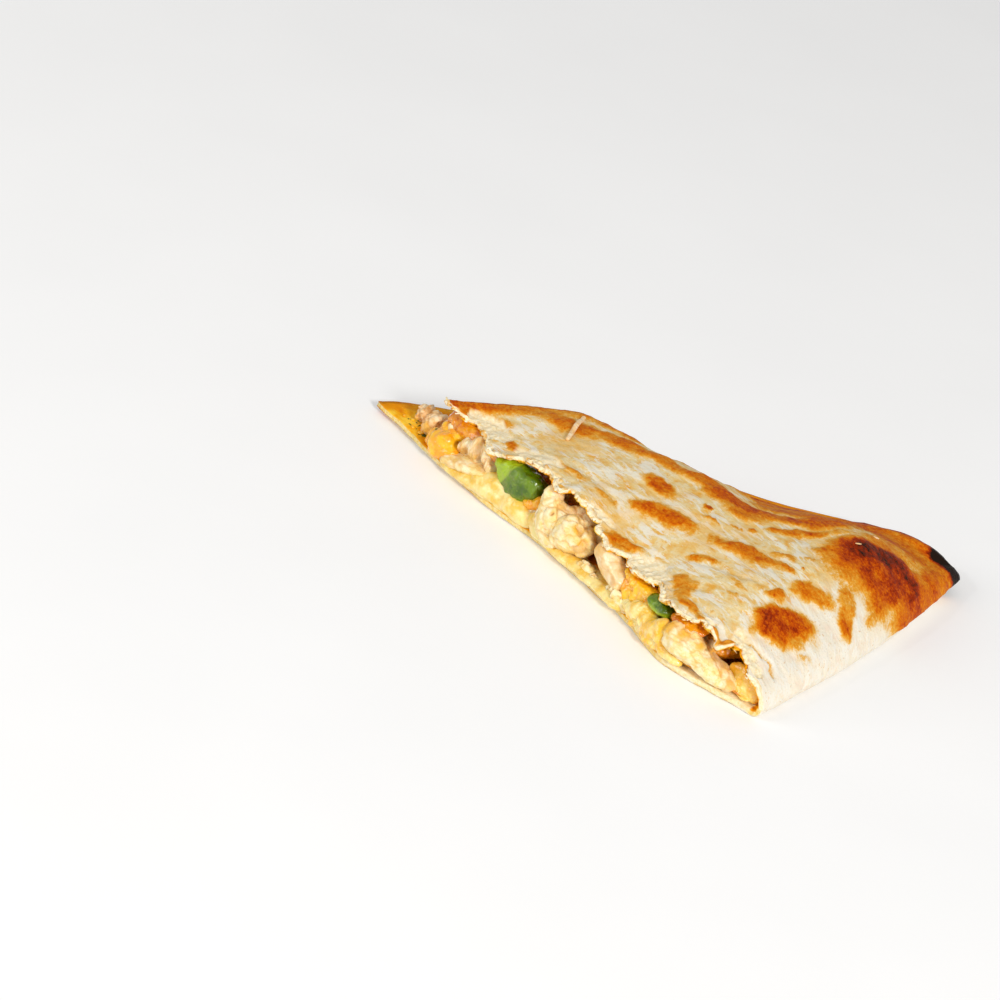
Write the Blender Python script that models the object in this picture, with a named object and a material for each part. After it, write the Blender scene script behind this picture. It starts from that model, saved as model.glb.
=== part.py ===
"""Quesadilla wedge: the end piece of a folded flour tortilla filled with cheese, chicken, onion and pepper.

The wedge has three sides: the fold, the knife cut that opens on the filling, and the rim of the tortilla.
The cut runs along X and faces -Y; the fold starts at the corner of the wedge, at the cut's +X end.
Sections of the tortilla run from the fold out to the rim, and each one is a hairpin: lower layer, fold,
upper layer.  In plan a point is first worked out with the fold along x, then turned into the wedge's axes.
Sizes and places are in millimetres; the meshes are made in metres.
"""
import math

import bmesh
import bpy
from mathutils import Vector

MM = 0.001

# Tortilla, and how it is folded and cut
TORTILLA_RADIUS = 152.0
FOLD_OFFSET = 13.6
CUT_POINT = 61.6
CUT_ANGLE = math.radians(71.7)
SHEET = 1.7

# Height of the wedge
CROWN = 16.8
EDGE_HEIGHT = 13.2
EDGE_FALL = 13.0
FOLD_HALF = 2.5
FOLD_RISE = 21.0
RIM_FALL = 34.0
RIM_LIFT = 3.8
RIM_PINCH = 0.9
RIM_DENT = 3.6
POINT_LIFT = 1.0
MOUTH_OPEN = 0.96
MOUTH_START = 25.0
MOUTH_END = 50.0

# Outline of the cut and of the fold
CUT_BOW = 6.2
CUT_RIPPLE = 1.8
CUT_SWELL = 3.0
UPPER_SETBACK = 1.2
FOLD_BOW = 2.4
LAST_SECTION = 0.97

# Cheese layer and chicken filling that run through the wedge
GAP = 0.35
CHEESE_THICK = 0.95
CHEESE_END = 0.84
FILLING_START = 0.165
FILLING_END = 0.80

# Mesh steps
SECTIONS = 28
LOWER_STEPS = 9
TURN_STEPS = 4
UPPER_STEPS = 14
CHEESE_STEPS = 17
FILLING_STEPS = 14
LUMP_CUTS = 4

# Pieces that show at the cut: distance from the corner, height of the middle, size along the cut, into
# the wedge and up, depth of the face behind the cut edge, squareness, roughness, tilt, seed of the bumps
PIECES = {
    "chicken_strip": (18.6, 7.1, (18.6, 9.0, 7.0), -2.6, 3.5, 0.10, 0.12, 1.0, "cooked chicken"),
    "pepper_bit": (32.2, 9.15, (6.0, 6.5, 2.5), -0.2, 4.0, 0.08, 0.10, 2.0, "green pepper"),
    "cheese_melt": (34.6, 5.6, (11.0, 9.0, 4.2), -2.4, 3.0, 0.12, 0.0, 3.0, "melted cheese"),
    "cheddar_chip": (42.6, 7.2, (4.0, 7.0, 4.6), -2.2, 3.0, 0.10, 0.0, 5.0, "cheddar"),
    "onion_piece": (49.6, 6.75, (8.6, 8.5, 6.1), -2.8, 4.0, 0.08, 0.12, 4.0, "onion"),
    "chicken_chunk": (65.6, 8.65, (15.8, 11.0, 9.5), -2.4, 3.5, 0.12, 0.05, 6.0, "cooked chicken"),
    "green_pepper": (83.2, 8.6, (13.0, 7.5, 7.2), -1.0, 5.0, 0.06, -0.22, 7.0, "green pepper"),
    "onion_slice": (96.0, 8.8, (8.4, 8.0, 4.4), 1.0, 4.0, 0.10, -0.05, 8.0, "onion"),
    "chicken_sliver": (97.0, 5.05, (12.0, 7.5, 2.6), -1.5, 3.0, 0.10, -0.02, 9.0, "cooked chicken"),
    "cheddar_blob": (108.4, 5.9, (8.2, 7.5, 6.2), -1.5, 2.4, 0.06, 0.0, 10.0, "cheddar"),
    "chicken_lump": (117.6, 5.6, (9.0, 7.5, 4.6), 5.6, 3.0, 0.12, 0.0, 11.0, "cooked chicken"),
}

# Colour and roughness
FINISHES = {
    "toasted tortilla": ((0.84, 0.74, 0.56), 0.7),
    "cooked chicken": ((0.86, 0.76, 0.60), 0.6),
    "onion": ((0.86, 0.82, 0.66), 0.3),
    "green pepper": ((0.07, 0.22, 0.02), 0.3),
    "melted cheese": ((0.90, 0.68, 0.30), 0.35),
    "cheddar": ((0.90, 0.42, 0.06), 0.35),
}

FOLD_LENGTH = math.sqrt(TORTILLA_RADIUS ** 2 - FOLD_OFFSET ** 2) - CUT_POINT
CUT_X = math.cos(CUT_ANGLE)
CUT_Y = math.sin(CUT_ANGLE)


def smooth(x):
    """Smooth step from 0 to 1."""
    x = min(max(x, 0.0), 1.0)
    return x * x * (3.0 - 2.0 * x)


def bell(x, centre, width):
    """Bell curve of height 1."""
    return math.exp(-(((x - centre) / width) ** 2))


def cut_length(centre_y):
    """Length of the cut, from the fold to the rim circle centred at (-CUT_POINT, centre_y)."""
    half = CUT_X * CUT_POINT - CUT_Y * centre_y
    rest = CUT_POINT ** 2 + centre_y ** 2 - TORTILLA_RADIUS ** 2
    return -half + math.sqrt(half * half - rest)


def rim_point(s, centre_y):
    """Point on a rim: s = 0 at the cut, s = 1 where the fold meets the rim."""
    reach = cut_length(centre_y)
    start = math.atan2(reach * CUT_Y - centre_y, reach * CUT_X + CUT_POINT)
    end = math.atan2(-centre_y, FOLD_LENGTH + CUT_POINT)
    angle = start + (end - start) * s
    radius = TORTILLA_RADIUS - RIM_DENT * bell(s, 0.62, 0.15)
    return radius * math.cos(angle) - CUT_POINT, radius * math.sin(angle) + centre_y


def section_run(s, upper):
    """Start, direction and length of a section in plan, for the upper or the lower layer."""
    start = (FOLD_LENGTH * s, -FOLD_BOW * math.sin(math.pi * s))
    end = rim_point(s, -FOLD_OFFSET if upper else FOLD_OFFSET)
    dx = end[0] - start[0]
    dy = end[1] - start[1]
    length = math.hypot(dx, dy)
    return start, (dx / length, dy / length), length


def behind_cut(x, y):
    """Distance of a plan point behind the cut."""
    return x * CUT_Y - y * CUT_X


def along_cut(x, y):
    """Distance of a plan point from the corner, along the cut."""
    return x * CUT_X + y * CUT_Y


def bow(r):
    """How far the cut edge stands out from a straight line, at distance r from the corner."""
    return CUT_BOW * bell(r, 24.0, 15.0) + CUT_RIPPLE * bell(r, 50.0, 14.0) + CUT_SWELL * bell(r, 97.0, 26.0)


def crown(x, y):
    """Height of the wedge over a plan point: a softly swelling crown that sinks towards the cut."""
    middle = CROWN + 0.7 * math.sin(0.085 * x + 0.6) * math.sin(0.075 * y + 0.3)
    r = along_cut(x, y)
    edge = EDGE_HEIGHT + 2.6 * bell(r, 113.0, 7.0) + 2.0 * bell(r, 79.0, 7.0) + 2.3 * bell(r, 67.0, 8.0)
    edge -= 1.9 * bell(r, 45.0, 12.0)
    near = bell(max(behind_cut(x, y), 0.0), 0.0, EDGE_FALL)
    return middle + (edge - middle) * near


def rim_lift(s, tau):
    """The lower layer lies flat except near the rim, which curls up towards the end of the fold."""
    edge = RIM_LIFT * bell(s, 0.88, 0.13) + POINT_LIFT * bell(s, 0.0, 0.16)
    return edge * smooth((tau - 0.45) / 0.55)


def top_height(s, q):
    """Height of the outside of the upper layer at distance q from the fold."""
    start, way, length = section_run(s, True)
    x = start[0] + way[0] * q
    y = start[1] + way[1] * q
    inset = max(TORTILLA_RADIUS - math.hypot(x + CUT_POINT, y + FOLD_OFFSET), 0.0)
    nose = math.sqrt(max(1.0 - (1.0 - min(q / FOLD_HALF, 1.0)) ** 2, 0.0))
    rise = math.sin(0.5 * math.pi * min(q / FOLD_RISE, 1.0)) ** 0.9
    fall = smooth(0.08 + inset / RIM_FALL)
    mouth = 1.0 - smooth((behind_cut(x, y) - MOUTH_START) / (MOUTH_END - MOUTH_START))
    fall = fall + (1.0 - fall) * MOUTH_OPEN * mouth
    body = (crown(x, y) - 2.0 * FOLD_HALF) * rise * fall
    tau = q / length
    return FOLD_HALF + FOLD_HALF * nose + body + rim_lift(s, tau) - RIM_PINCH * smooth(2.0 * tau - 1.0)


def place(s, upper, q, z):
    """Point of the wedge at distance q from the fold on section s, with the bow of the cut edge."""
    start, way, length = section_run(s, upper)
    x = start[0] + way[0] * q
    y = start[1] + way[1] * q
    out = bow(q)
    if upper:
        out -= UPPER_SETBACK * smooth(q / 15.0)
    out *= (1.0 - s) ** 5
    return Vector((-along_cut(x, y), behind_cut(x, y) - out, z)) * MM


def sheet_point(s, step):
    """Outside of a hairpin section, counted in steps from the lower rim round the fold to the upper rim."""
    if step < LOWER_STEPS:
        length = section_run(s, False)[2]
        q = FOLD_HALF + (length - FOLD_HALF) * (1.0 - step / LOWER_STEPS)
        return place(s, False, q, rim_lift(s, q / length))
    step -= LOWER_STEPS
    if step < TURN_STEPS:
        turn = 0.5 * math.pi * step / TURN_STEPS
        return place(s, False, FOLD_HALF * (1.0 - math.sin(turn)), FOLD_HALF * (1.0 - math.cos(turn)))
    step -= TURN_STEPS
    if step < TURN_STEPS:
        q = FOLD_HALF * (1.0 - math.cos(0.5 * math.pi * step / TURN_STEPS))
        return place(s, True, q, top_height(s, q))
    step -= TURN_STEPS
    length = section_run(s, True)[2]
    q = FOLD_HALF + (length - FOLD_HALF) * (step / UPPER_STEPS) ** 1.25
    return place(s, True, q, top_height(s, q))


def floor_height(s, q):
    """Top of the lower layer."""
    length = section_run(s, False)[2]
    return SHEET + 1.15 * rim_lift(s, min(q / length, 1.0))


def ceiling_height(s, q):
    """Underside of the upper layer."""
    slope = top_height(s, q + 0.5) - top_height(s, q - 0.5)
    return top_height(s, q) - SHEET * math.hypot(1.0, slope)


def cheese_top(s, q):
    """Top of the melted cheese that covers the lower layer."""
    wave = 0.2 * math.sin(0.31 * q + 9.0 * s) * math.sin(14.0 * s + 0.13 * q)
    return floor_height(s, q) + GAP + CHEESE_THICK + wave


def cheese_point(u, v, level):
    """Point of the cheese layer: u from the cut inwards, v from the fold to the rim, level 0 or 1."""
    s = CHEESE_END * u
    start = 5.0
    end = section_run(s, True)[2] - 9.0 - 4.0 * smooth(s / 0.3)
    q = start + (end - start) * v
    low = floor_height(s, q) + GAP
    if not level:
        return place(s, True, q, low)
    thin = max(u, abs(2.0 * v - 1.0)) > 0.99
    return place(s, True, q, low + 0.45 if thin else cheese_top(s, q))


def filling_point(u, v, level):
    """Point of the chicken filling, with a lumpy top just under the upper layer."""
    s = FILLING_START + (FILLING_END - FILLING_START) * u
    start = 6.0
    end = section_run(s, True)[2] - 6.0 - 6.0 * smooth((s - 0.15) / 0.25)
    q = start + (end - start) * v
    low = cheese_top(s, q) + GAP + 0.2
    if not level:
        return place(s, True, q, low)
    lump = 0.5 + 0.5 * math.sin(0.33 * q + 17.0 * s) * math.sin(0.21 * q - 23.0 * s)
    high = ceiling_height(s, q) - 1.5 * GAP - 0.8 * lump
    rim_side = 1.0 - smooth(0.35 + 4.0 * (1.0 - v))
    edge = 0.35 if max(abs(2.0 * u - 1.0), 1.0 - v) > 0.99 else 0.0
    return place(s, True, q, high - (high - low) * max(0.75 * rim_side, edge))


def add_object(name, bm, finish, parent):
    """Make the object of one sub-part from its mesh."""
    bmesh.ops.recalc_face_normals(bm, faces=bm.faces)
    mesh = bpy.data.meshes.new(name)
    bm.to_mesh(mesh)
    bm.free()
    mesh.shade_smooth()
    mesh.set_sharp_from_angle(angle=math.radians(50.0))
    mesh.materials.append(finish)
    obj = bpy.data.objects.new(name, mesh)
    bpy.context.scene.collection.objects.link(obj)
    obj.parent = parent
    return obj


def add_tortilla(finish, parent):
    """One sheet bent round the fold, then given its thickness on the inside."""
    steps = LOWER_STEPS + 2 * TURN_STEPS + UPPER_STEPS
    bm = bmesh.new()
    bmesh.ops.create_grid(bm, x_segments=SECTIONS, y_segments=steps, size=1.0)
    for vert in bm.verts:
        s = LAST_SECTION * 0.5 * (vert.co.x + 1.0)
        step = round(steps * 0.5 * (vert.co.y + 1.0))
        vert.co = sheet_point(s, step)
    obj = add_object("tortilla", bm, finish, parent)
    top = max(obj.data.polygons, key=lambda face: face.center.z)
    solidify = obj.modifiers.new("sheet", "SOLIDIFY")
    solidify.thickness = SHEET * MM
    solidify.offset = -1.0 if top.normal.z > 0.0 else 1.0
    solidify.use_even_offset = True
    return obj


def add_layer(name, point, steps, finish, parent):
    """A layer between the two sides of the tortilla: a flat block of squares laid into its place."""
    bm = bmesh.new()
    bmesh.ops.create_grid(bm, x_segments=steps, y_segments=steps, size=1.0)
    raised = bmesh.ops.extrude_face_region(bm, geom=list(bm.faces))
    for item in raised["geom"]:
        if isinstance(item, bmesh.types.BMVert):
            item.co.z = 1.0
    for vert in bm.verts:
        u = 0.5 * (vert.co.x + 1.0)
        v = 0.5 * (vert.co.y + 1.0)
        vert.co = point(u, v, round(vert.co.z))
    return add_object(name, bm, finish, parent)


def add_piece(name, finish, parent):
    """A lump of filling: a cube cut into squares, rounded, and roughened with shallow bumps."""
    r, z, size, inset, power, rough, tilt, seed = PIECES[name][:8]
    bm = bmesh.new()
    bmesh.ops.create_cube(bm, size=2.0)
    bmesh.ops.subdivide_edges(bm, edges=bm.edges, cuts=LUMP_CUTS, use_grid_fill=True)
    for vert in bm.verts:
        u, v, w = (math.sin(0.25 * math.pi * t) / math.sin(0.25 * math.pi) for t in vert.co)
        norm = (abs(u) ** power + abs(v) ** power + abs(w) ** power) ** (1.0 / power)
        bump = math.sin(3.1 * u + seed) * math.sin(2.7 * v + 1.7 * seed) + math.sin(4.3 * w + 2.3 * seed + u)
        scale = 0.5 * MM * (1.0 - rough + 0.5 * rough * bump) / norm
        vert.co = (size[0] * u * scale, size[1] * v * scale, size[2] * w * scale)
    obj = add_object(name, bm, finish, parent)
    obj.location = Vector((-r, inset + 0.5 * size[1] - bow(r), z)) * MM
    obj.rotation_euler = (0.0, tilt, 0.0)
    return obj


def add_finish(name):
    """Material of one kind of food."""
    colour, roughness = FINISHES[name]
    finish = bpy.data.materials.new(name)
    finish.use_nodes = True
    shader = finish.node_tree.nodes["Principled BSDF"]
    shader.inputs["Base Color"].default_value = (*colour, 1.0)
    shader.inputs["Roughness"].default_value = roughness
    finish.diffuse_color = (*colour, 1.0)
    return finish


def centre_on_origin(parent):
    """Move the whole wedge so that the middle of its box, in plan, is at the origin."""
    bpy.context.view_layer.update()
    graph = bpy.context.evaluated_depsgraph_get()
    corners = []
    for child in parent.children:
        solid = child.evaluated_get(graph)
        corners += [solid.matrix_world @ vert.co for vert in solid.data.vertices]
    for axis in (0, 1):
        values = [corner[axis] for corner in corners]
        parent.location[axis] = -0.5 * (min(values) + max(values))


def main():
    for obj in list(bpy.data.objects):
        bpy.data.objects.remove(obj, do_unlink=True)
    finishes = {name: add_finish(name) for name in FINISHES}
    wedge = bpy.data.objects.new("wedge", None)
    bpy.context.scene.collection.objects.link(wedge)
    add_tortilla(finishes["toasted tortilla"], wedge)
    add_layer("melted_cheese", cheese_point, CHEESE_STEPS, finishes["melted cheese"], wedge)
    add_layer("chicken_filling", filling_point, FILLING_STEPS, finishes["cooked chicken"], wedge)
    for name, values in PIECES.items():
        add_piece(name, finishes[values[8]], wedge)
    centre_on_origin(wedge)


main()
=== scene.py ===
"""Looks of the quesadilla wedge: toasted flour tortilla, melted cheese, chicken, onion and green pepper.

The cut runs along X and faces -Y; the corner where the fold meets the cut is at +X.  Shapes are worked out
in millimetres and made in metres, in the frame's own axes.
"""

import itertools
import math

import bmesh
import bpy
import numpy as np
from mathutils import Matrix, Vector


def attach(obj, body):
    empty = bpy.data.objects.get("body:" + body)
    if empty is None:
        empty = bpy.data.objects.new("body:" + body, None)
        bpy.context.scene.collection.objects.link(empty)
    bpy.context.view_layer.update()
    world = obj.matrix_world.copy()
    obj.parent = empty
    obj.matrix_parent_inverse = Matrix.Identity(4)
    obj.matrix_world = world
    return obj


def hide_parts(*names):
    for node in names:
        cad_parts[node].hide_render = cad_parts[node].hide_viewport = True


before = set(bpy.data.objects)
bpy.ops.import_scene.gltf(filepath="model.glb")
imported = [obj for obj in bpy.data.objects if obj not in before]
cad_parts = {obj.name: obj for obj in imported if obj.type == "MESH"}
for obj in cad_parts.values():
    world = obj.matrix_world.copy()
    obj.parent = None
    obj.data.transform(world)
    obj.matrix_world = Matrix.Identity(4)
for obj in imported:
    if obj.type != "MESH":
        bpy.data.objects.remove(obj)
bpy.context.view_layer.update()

MM = 0.001

# The folded sheet, with the same sizes as the solid
TORTILLA_RADIUS = 152.0
FOLD_OFFSET = 13.6
CUT_POINT = 61.6
CUT_ANGLE = math.radians(71.7)
SHEET = 1.7
CROWN = 16.8
EDGE_HEIGHT = 13.2
EDGE_FALL = 13.0
FOLD_HALF = 2.5
FOLD_RISE = 21.0
RIM_FALL = 34.0
RIM_LIFT = 3.0
RIM_PINCH = 0.9
RIM_DENT = 3.6
POINT_LIFT = 1.0
MOUTH_OPEN = 0.96
MOUTH_START = 25.0
MOUTH_END = 50.0
CUT_BOW = 6.2
CUT_RIPPLE = 1.8
CUT_SWELL = 3.0
UPPER_SETBACK = 1.2
OPEN_SETBACK = 3.4
DENT = 2.0
FOLD_BOW = 2.4
LAST_SECTION = 0.978
ROUND_END = 0.925
CORNER = (66.005, -38.243)

FOLD_LENGTH = math.sqrt(TORTILLA_RADIUS ** 2 - FOLD_OFFSET ** 2) - CUT_POINT
CUT_X = math.cos(CUT_ANGLE)
CUT_Y = math.sin(CUT_ANGLE)

# Mesh of the tortilla
ACROSS = 120
ALONG = 260
FINE_ROWS = 8
LOWER_SHARE = 0.33
TURN_SHARE = 0.03

# Toasted spots of the upper side: middle, half length, half width, turn, darkness
TOP_SPOTS = [
    (13.5, -24.3, 9.6, 3.8, 15, 0.60),
    (8, -26.5, 4.0, 2.2, 20, 0.48),
    (31.5, -17.3, 10.8, 3.2, 30, 0.58),
    (40, -12.5, 4.0, 1.6, 24, 0.48),
    (29, -26.8, 3.6, 1.6, 24, 0.54),
    (4, -18, 6.0, 3.2, -15, 0.58),
    (14, -5, 9.0, 4.6, 35, 0.60),
    (21, 2, 9.0, 3.6, 60, 0.60),
    (27.6, -0.4, 8.0, 2.5, 74, 0.54),
    (18.5, -6.5, 6.5, 2.8, 38, 0.50),
    (25, 14, 12.0, 5.5, 80, 0.60),
    (22, 28, 10.0, 7.0, 20, 0.60),
    (32, 33, 8.0, 7.0, 20, 0.58),
    (14.4, -13.4, 1.3, 1.0, 0, 0.72),
    (19, -17, 2.8, 1.0, 20, 0.50),
    (25.3, -9.4, 1.8, 0.9, 20, 0.54),
    (23, -12.5, 2.4, 0.8, 20, 0.48),
    (35, -10.5, 3.6, 1.4, 30, 0.46),
    (41.2, -8.6, 0.9, 0.7, 0, 0.66),
    (38, -5, 2.6, 0.9, 40, 0.40),
    (46, -21.3, 3.6, 2.3, 79, 0.56),
    (52.8, -24.2, 10.0, 5.0, 82, 0.46),
    (52.4, -23.4, 9.2, 4.3, 82, 0.62),
    (53.8, -27.6, 5.8, 4.2, 60, 0.61),
    (52.0, -32.8, 3.4, 1.6, 60, 0.32),
    (16, -36.7, 6.0, 2.2, 12, 0.52),
    (33.6, -35.4, 4.4, 3.0, -20, 0.46),
    (36.6, -37.8, 3.8, 1.8, -50, 0.44),
    (41.0, -40.8, 4.6, 1.5, -10, 0.48),
    (47.5, -41.2, 5.0, 1.5, -4, 0.48),
    (52.6, -40.6, 3.0, 1.4, 20, 0.48),
    (61.0, -37.6, 2.6, 1.0, 20, 0.40),
    (42.0, 13, 20.5, 10.6, 80, 0.50),
    (41.4, 14, 17.0, 8.4, 80, 0.60),
    (38.8, 15.5, 13.0, 4.6, 78, 0.80),
    (47.5, 19, 13.0, 5.6, 98, 0.56),
    (50.0, 10, 8.0, 3.6, 90, 0.50),
    (44, 29, 11.0, 6.0, 95, 0.54),
    (42, 38, 9.0, 8.0, 60, 0.55),
    (37.5, 4, 8.0, 3.2, 60, 0.46),
    (35, 24, 12.0, 4.0, 74, 0.46),
    (30, 8, 9.0, 2.2, 76, 0.40),
    (47, -11, 6.0, 3.2, 73, 0.54),
    (50.6, -4.0, 7.4, 2.8, -42, 0.44),
    (53.8, -6.8, 3.2, 2.4, 10, 0.60),
    (52.4, 4.5, 4.6, 1.9, 97, 0.44),
    (59.6, -22.5, 2.4, 1.5, 70, 0.34),
    (-27, -19, 11.0, 4.2, 16, 0.52),
    (-14, -14, 9.0, 4.0, 20, 0.56),
    (-38, -29, 7.0, 2.2, 30, 0.38),
    (-20, -9, 8.0, 3.0, 30, 0.52),
    (-4, -9, 10.0, 3.6, 14, 0.52),
    (6, -6, 9.0, 3.6, 10, 0.54),
    (-6, 4, 12.0, 7.0, 30, 0.54),
    (8, 10, 12.0, 6.0, 50, 0.56),
    (4, 24, 10.0, 8.0, 40, 0.56),
    (15, 20, 9.0, 6.0, 60, 0.56),
    (17, 10, 11.0, 5.0, 62, 0.56),
    (-40.6, -37.6, 4.0, 1.6, 30, 0.54),
    (-25, -35.5, 5.5, 1.7, 8, 0.50),
    (-8, -33, 5.6, 1.7, 4, 0.44),
    (-33, -31, 5.0, 1.6, 12, 0.40),
    (3, -32, 4.0, 1.3, 8, 0.36),
    (40, -27, 4.0, 1.2, 16, 0.36),
    (43, -30, 3.0, 1.0, 10, 0.38),
]

# Tabs and nicks of the torn upper edge: distance from the corner, half width, how far out, how far down
TABS = [
    (13.6, 1.5, 2.0, 2.2),
    (9.6, 2.0, -1.6, 0.0),
    (22.0, 3.0, 0.7, 0.6),
    (30.0, 1.4, 0.9, 0.5),
    (34.5, 1.6, -0.9, 0.0),
    (47.0, 1.8, -1.2, 0.0),
    (51.5, 1.3, 1.0, 0.5),
    (58.0, 1.6, -1.2, 0.0),
    (70.0, 1.5, 1.0, 0.6),
    (83.0, 1.8, -1.0, 0.0),
    (90.0, 2.6, 1.2, 0.4),
]

# Line along which the skin has cracked by the corner, and the thin streak beside the burnt blister
CRACK = [(52.0, -36.4), (54.5, -35.3), (56.5, -34.0), (59.5, -32.6), (62.0, -33.4)]
CREASES = [
    [(36.5, -38.6), (41.0, -38.4), (46.0, -38.9), (50.0, -40.0), (53.0, -41.0)],
    [(34.0, -39.0), (35.5, -36.6), (37.5, -34.6)],
    [(17.0, -34.0), (21.0, -33.2), (27.0, -32.6), (30.0, -34.0)],
    [(-40.0, -34.0), (-33.0, -32.5), (-26.0, -31.5)],
    [(-10.0, -30.0), (-3.0, -29.6), (6.0, -31.5)],
    [(27.0, -29.5), (36.0, -25.8), (43.0, -22.6)],
]

# Places where the outer skin has come off and the crumb shows, and soft hollows
PEELED = [
    (26.5, -37.0, 6.5, 3.4, 4, 1.0),
    (56.5, -37.0, 6.0, 2.6, -10, 1.0),
    (-33.0, -35.0, 9.0, 4.0, 12, 1.0),
    (-17.0, -34.6, 8.0, 2.8, 2, 0.9),
    (7.0, -36.5, 5.0, 1.4, 4, 0.7),
]


def smooth(x):
    """Smooth step from 0 to 1."""
    x = np.clip(x, 0.0, 1.0)
    return x * x * (3.0 - 2.0 * x)


def bell(x, centre, width):
    """Bell curve of height 1."""
    return np.exp(-(((x - centre) / width) ** 2))


def lattice(cells, seed):
    """A random number from 0 to 1 for each cell of a grid."""
    value = cells[..., 0] * 374761393 + cells[..., 1] * 668265263 + cells[..., 2] * 1440662683
    value = (value + seed * 1274126177) & 0xFFFFFFFF
    value = ((value ^ (value >> 13)) * 1274126177) & 0xFFFFFFFF
    return ((value ^ (value >> 16)) & 0xFFFF) / 65535.0


def grain(points, size, seed=1, octaves=2):
    """A smooth random field from about -1 to 1, with features of the given size."""
    points = np.asarray(points, dtype=float)
    total = np.zeros(points.shape[:-1])
    weight = 1.0
    whole = 0.0
    for octave in range(octaves):
        p = points * (2.0 ** octave) / size + 31.7 * octave
        cell = np.floor(p).astype(np.int64)
        f = p - cell
        f = f * f * f * (f * (f * 6.0 - 15.0) + 10.0)
        value = 0.0
        for corner in itertools.product((0, 1), repeat=3):
            share = 1.0
            for axis in range(3):
                share = share * (f[..., axis] if corner[axis] else 1.0 - f[..., axis])
            value = value + share * lattice(cell + np.array(corner), seed + octave)
        total += weight * (2.0 * value - 1.0)
        whole += weight
        weight *= 0.55
    return total * 1.4 / whole


# ---- plan and height of the folded sheet ------------------------------------------------------------


def rim_angle(centre_y):
    """Angles at which a rim starts, at the cut, and ends, at the fold."""
    half = CUT_X * CUT_POINT - CUT_Y * centre_y
    rest = CUT_POINT ** 2 + centre_y ** 2 - TORTILLA_RADIUS ** 2
    reach = -half + math.sqrt(half * half - rest)
    start = math.atan2(reach * CUT_Y - centre_y, reach * CUT_X + CUT_POINT)
    return start, math.atan2(-centre_y, FOLD_LENGTH + CUT_POINT)


def section_run(s, upper):
    """Start, direction and length of the sections, for the upper or the lower layer."""
    centre_y = -FOLD_OFFSET if upper else FOLD_OFFSET
    first, last = rim_angle(centre_y)
    angle = first + (last - first) * s
    radius = TORTILLA_RADIUS - RIM_DENT * bell(s, 0.62, 0.15)
    start_x = FOLD_LENGTH * s
    start_y = -FOLD_BOW * np.sin(np.pi * s)
    dx = radius * np.cos(angle) - CUT_POINT - start_x
    dy = radius * np.sin(angle) + centre_y - start_y
    length = np.hypot(dx, dy)
    return start_x, start_y, dx / length, dy / length, length


def bow(r):
    """How far the cut edge stands out from a straight line."""
    return CUT_BOW * bell(r, 24.0, 15.0) + CUT_RIPPLE * bell(r, 50.0, 14.0) + CUT_SWELL * bell(r, 97.0, 26.0)


def crown(x, y):
    """Height of the wedge over a plan point."""
    middle = CROWN + 0.7 * np.sin(0.085 * x + 0.6) * np.sin(0.075 * y + 0.3)
    r = x * CUT_X + y * CUT_Y
    edge = EDGE_HEIGHT + 2.6 * bell(r, 113.0, 7.0) + 2.0 * bell(r, 79.0, 7.0) + 2.3 * bell(r, 67.0, 8.0)
    edge = edge - 1.9 * bell(r, 45.0, 12.0)
    near = bell(np.maximum(x * CUT_Y - y * CUT_X, 0.0), 0.0, EDGE_FALL)
    return middle + (edge - middle) * near


def rim_lift(s, tau):
    """How far the lower layer curls up near the rim."""
    edge = RIM_LIFT * bell(s, 0.88, 0.13) + POINT_LIFT * bell(s, 0.0, 0.16)
    return edge * smooth((tau - 0.45) / 0.55)


def top_height(s, q):
    """Height of the outside of the upper layer at distance q from the fold."""
    sx, sy, wx, wy, length = section_run(s, True)
    x = sx + wx * q
    y = sy + wy * q
    inset = np.maximum(TORTILLA_RADIUS - np.hypot(x + CUT_POINT, y + FOLD_OFFSET), 0.0)
    nose = np.sqrt(np.maximum(1.0 - (1.0 - np.minimum(q / FOLD_HALF, 1.0)) ** 2, 0.0))
    rise = np.sin(0.5 * np.pi * np.clip(q / FOLD_RISE, 0.0, 1.0)) ** 0.9
    fall = smooth(0.08 + inset / RIM_FALL)
    mouth = 1.0 - smooth((x * CUT_Y - y * CUT_X - MOUTH_START) / (MOUTH_END - MOUTH_START))
    fall = fall + (1.0 - fall) * MOUTH_OPEN * mouth
    body = (crown(x, y) - 2.0 * FOLD_HALF) * rise * fall
    tau = q / length
    return FOLD_HALF + FOLD_HALF * nose + body + rim_lift(s, tau) - RIM_PINCH * smooth(2.0 * tau - 1.0)


def frame_point(s, upper, q, z, extra=0.0):
    """Points of the wedge in the frame's axes, in mm."""
    sx, sy, wx, wy, _ = section_run(s, upper)
    x = sx + wx * q
    y = sy + wy * q
    back = UPPER_SETBACK * smooth(q / 15.0) + OPEN_SETBACK * bell(q, 101.0, 5.0)
    out = bow(q) - (back if upper else 0.0)
    out = out * (1.0 - s) ** 5 + extra
    along = x * CUT_X + y * CUT_Y
    behind = x * CUT_Y - y * CUT_X
    return np.stack([CORNER[0] - along, CORNER[1] + behind - out, z + 0.0 * along], axis=-1)


# ---- working with objects ----------------------------------------------------------------------------


def deselect():
    """Nothing selected, in object mode."""
    active = bpy.context.view_layer.objects.active
    if active is not None and active.mode != "OBJECT":
        bpy.ops.object.mode_set(mode="OBJECT")
    bpy.ops.object.select_all(action="DESELECT")


def pick(obj):
    """Only this object selected and active."""
    deselect()
    obj.select_set(True)
    bpy.context.view_layer.objects.active = obj
    return obj


def apply_place(obj):
    """Place, turn and size go into the mesh."""
    pick(obj)
    bpy.ops.object.transform_apply(location=True, rotation=True, scale=True)


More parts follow.
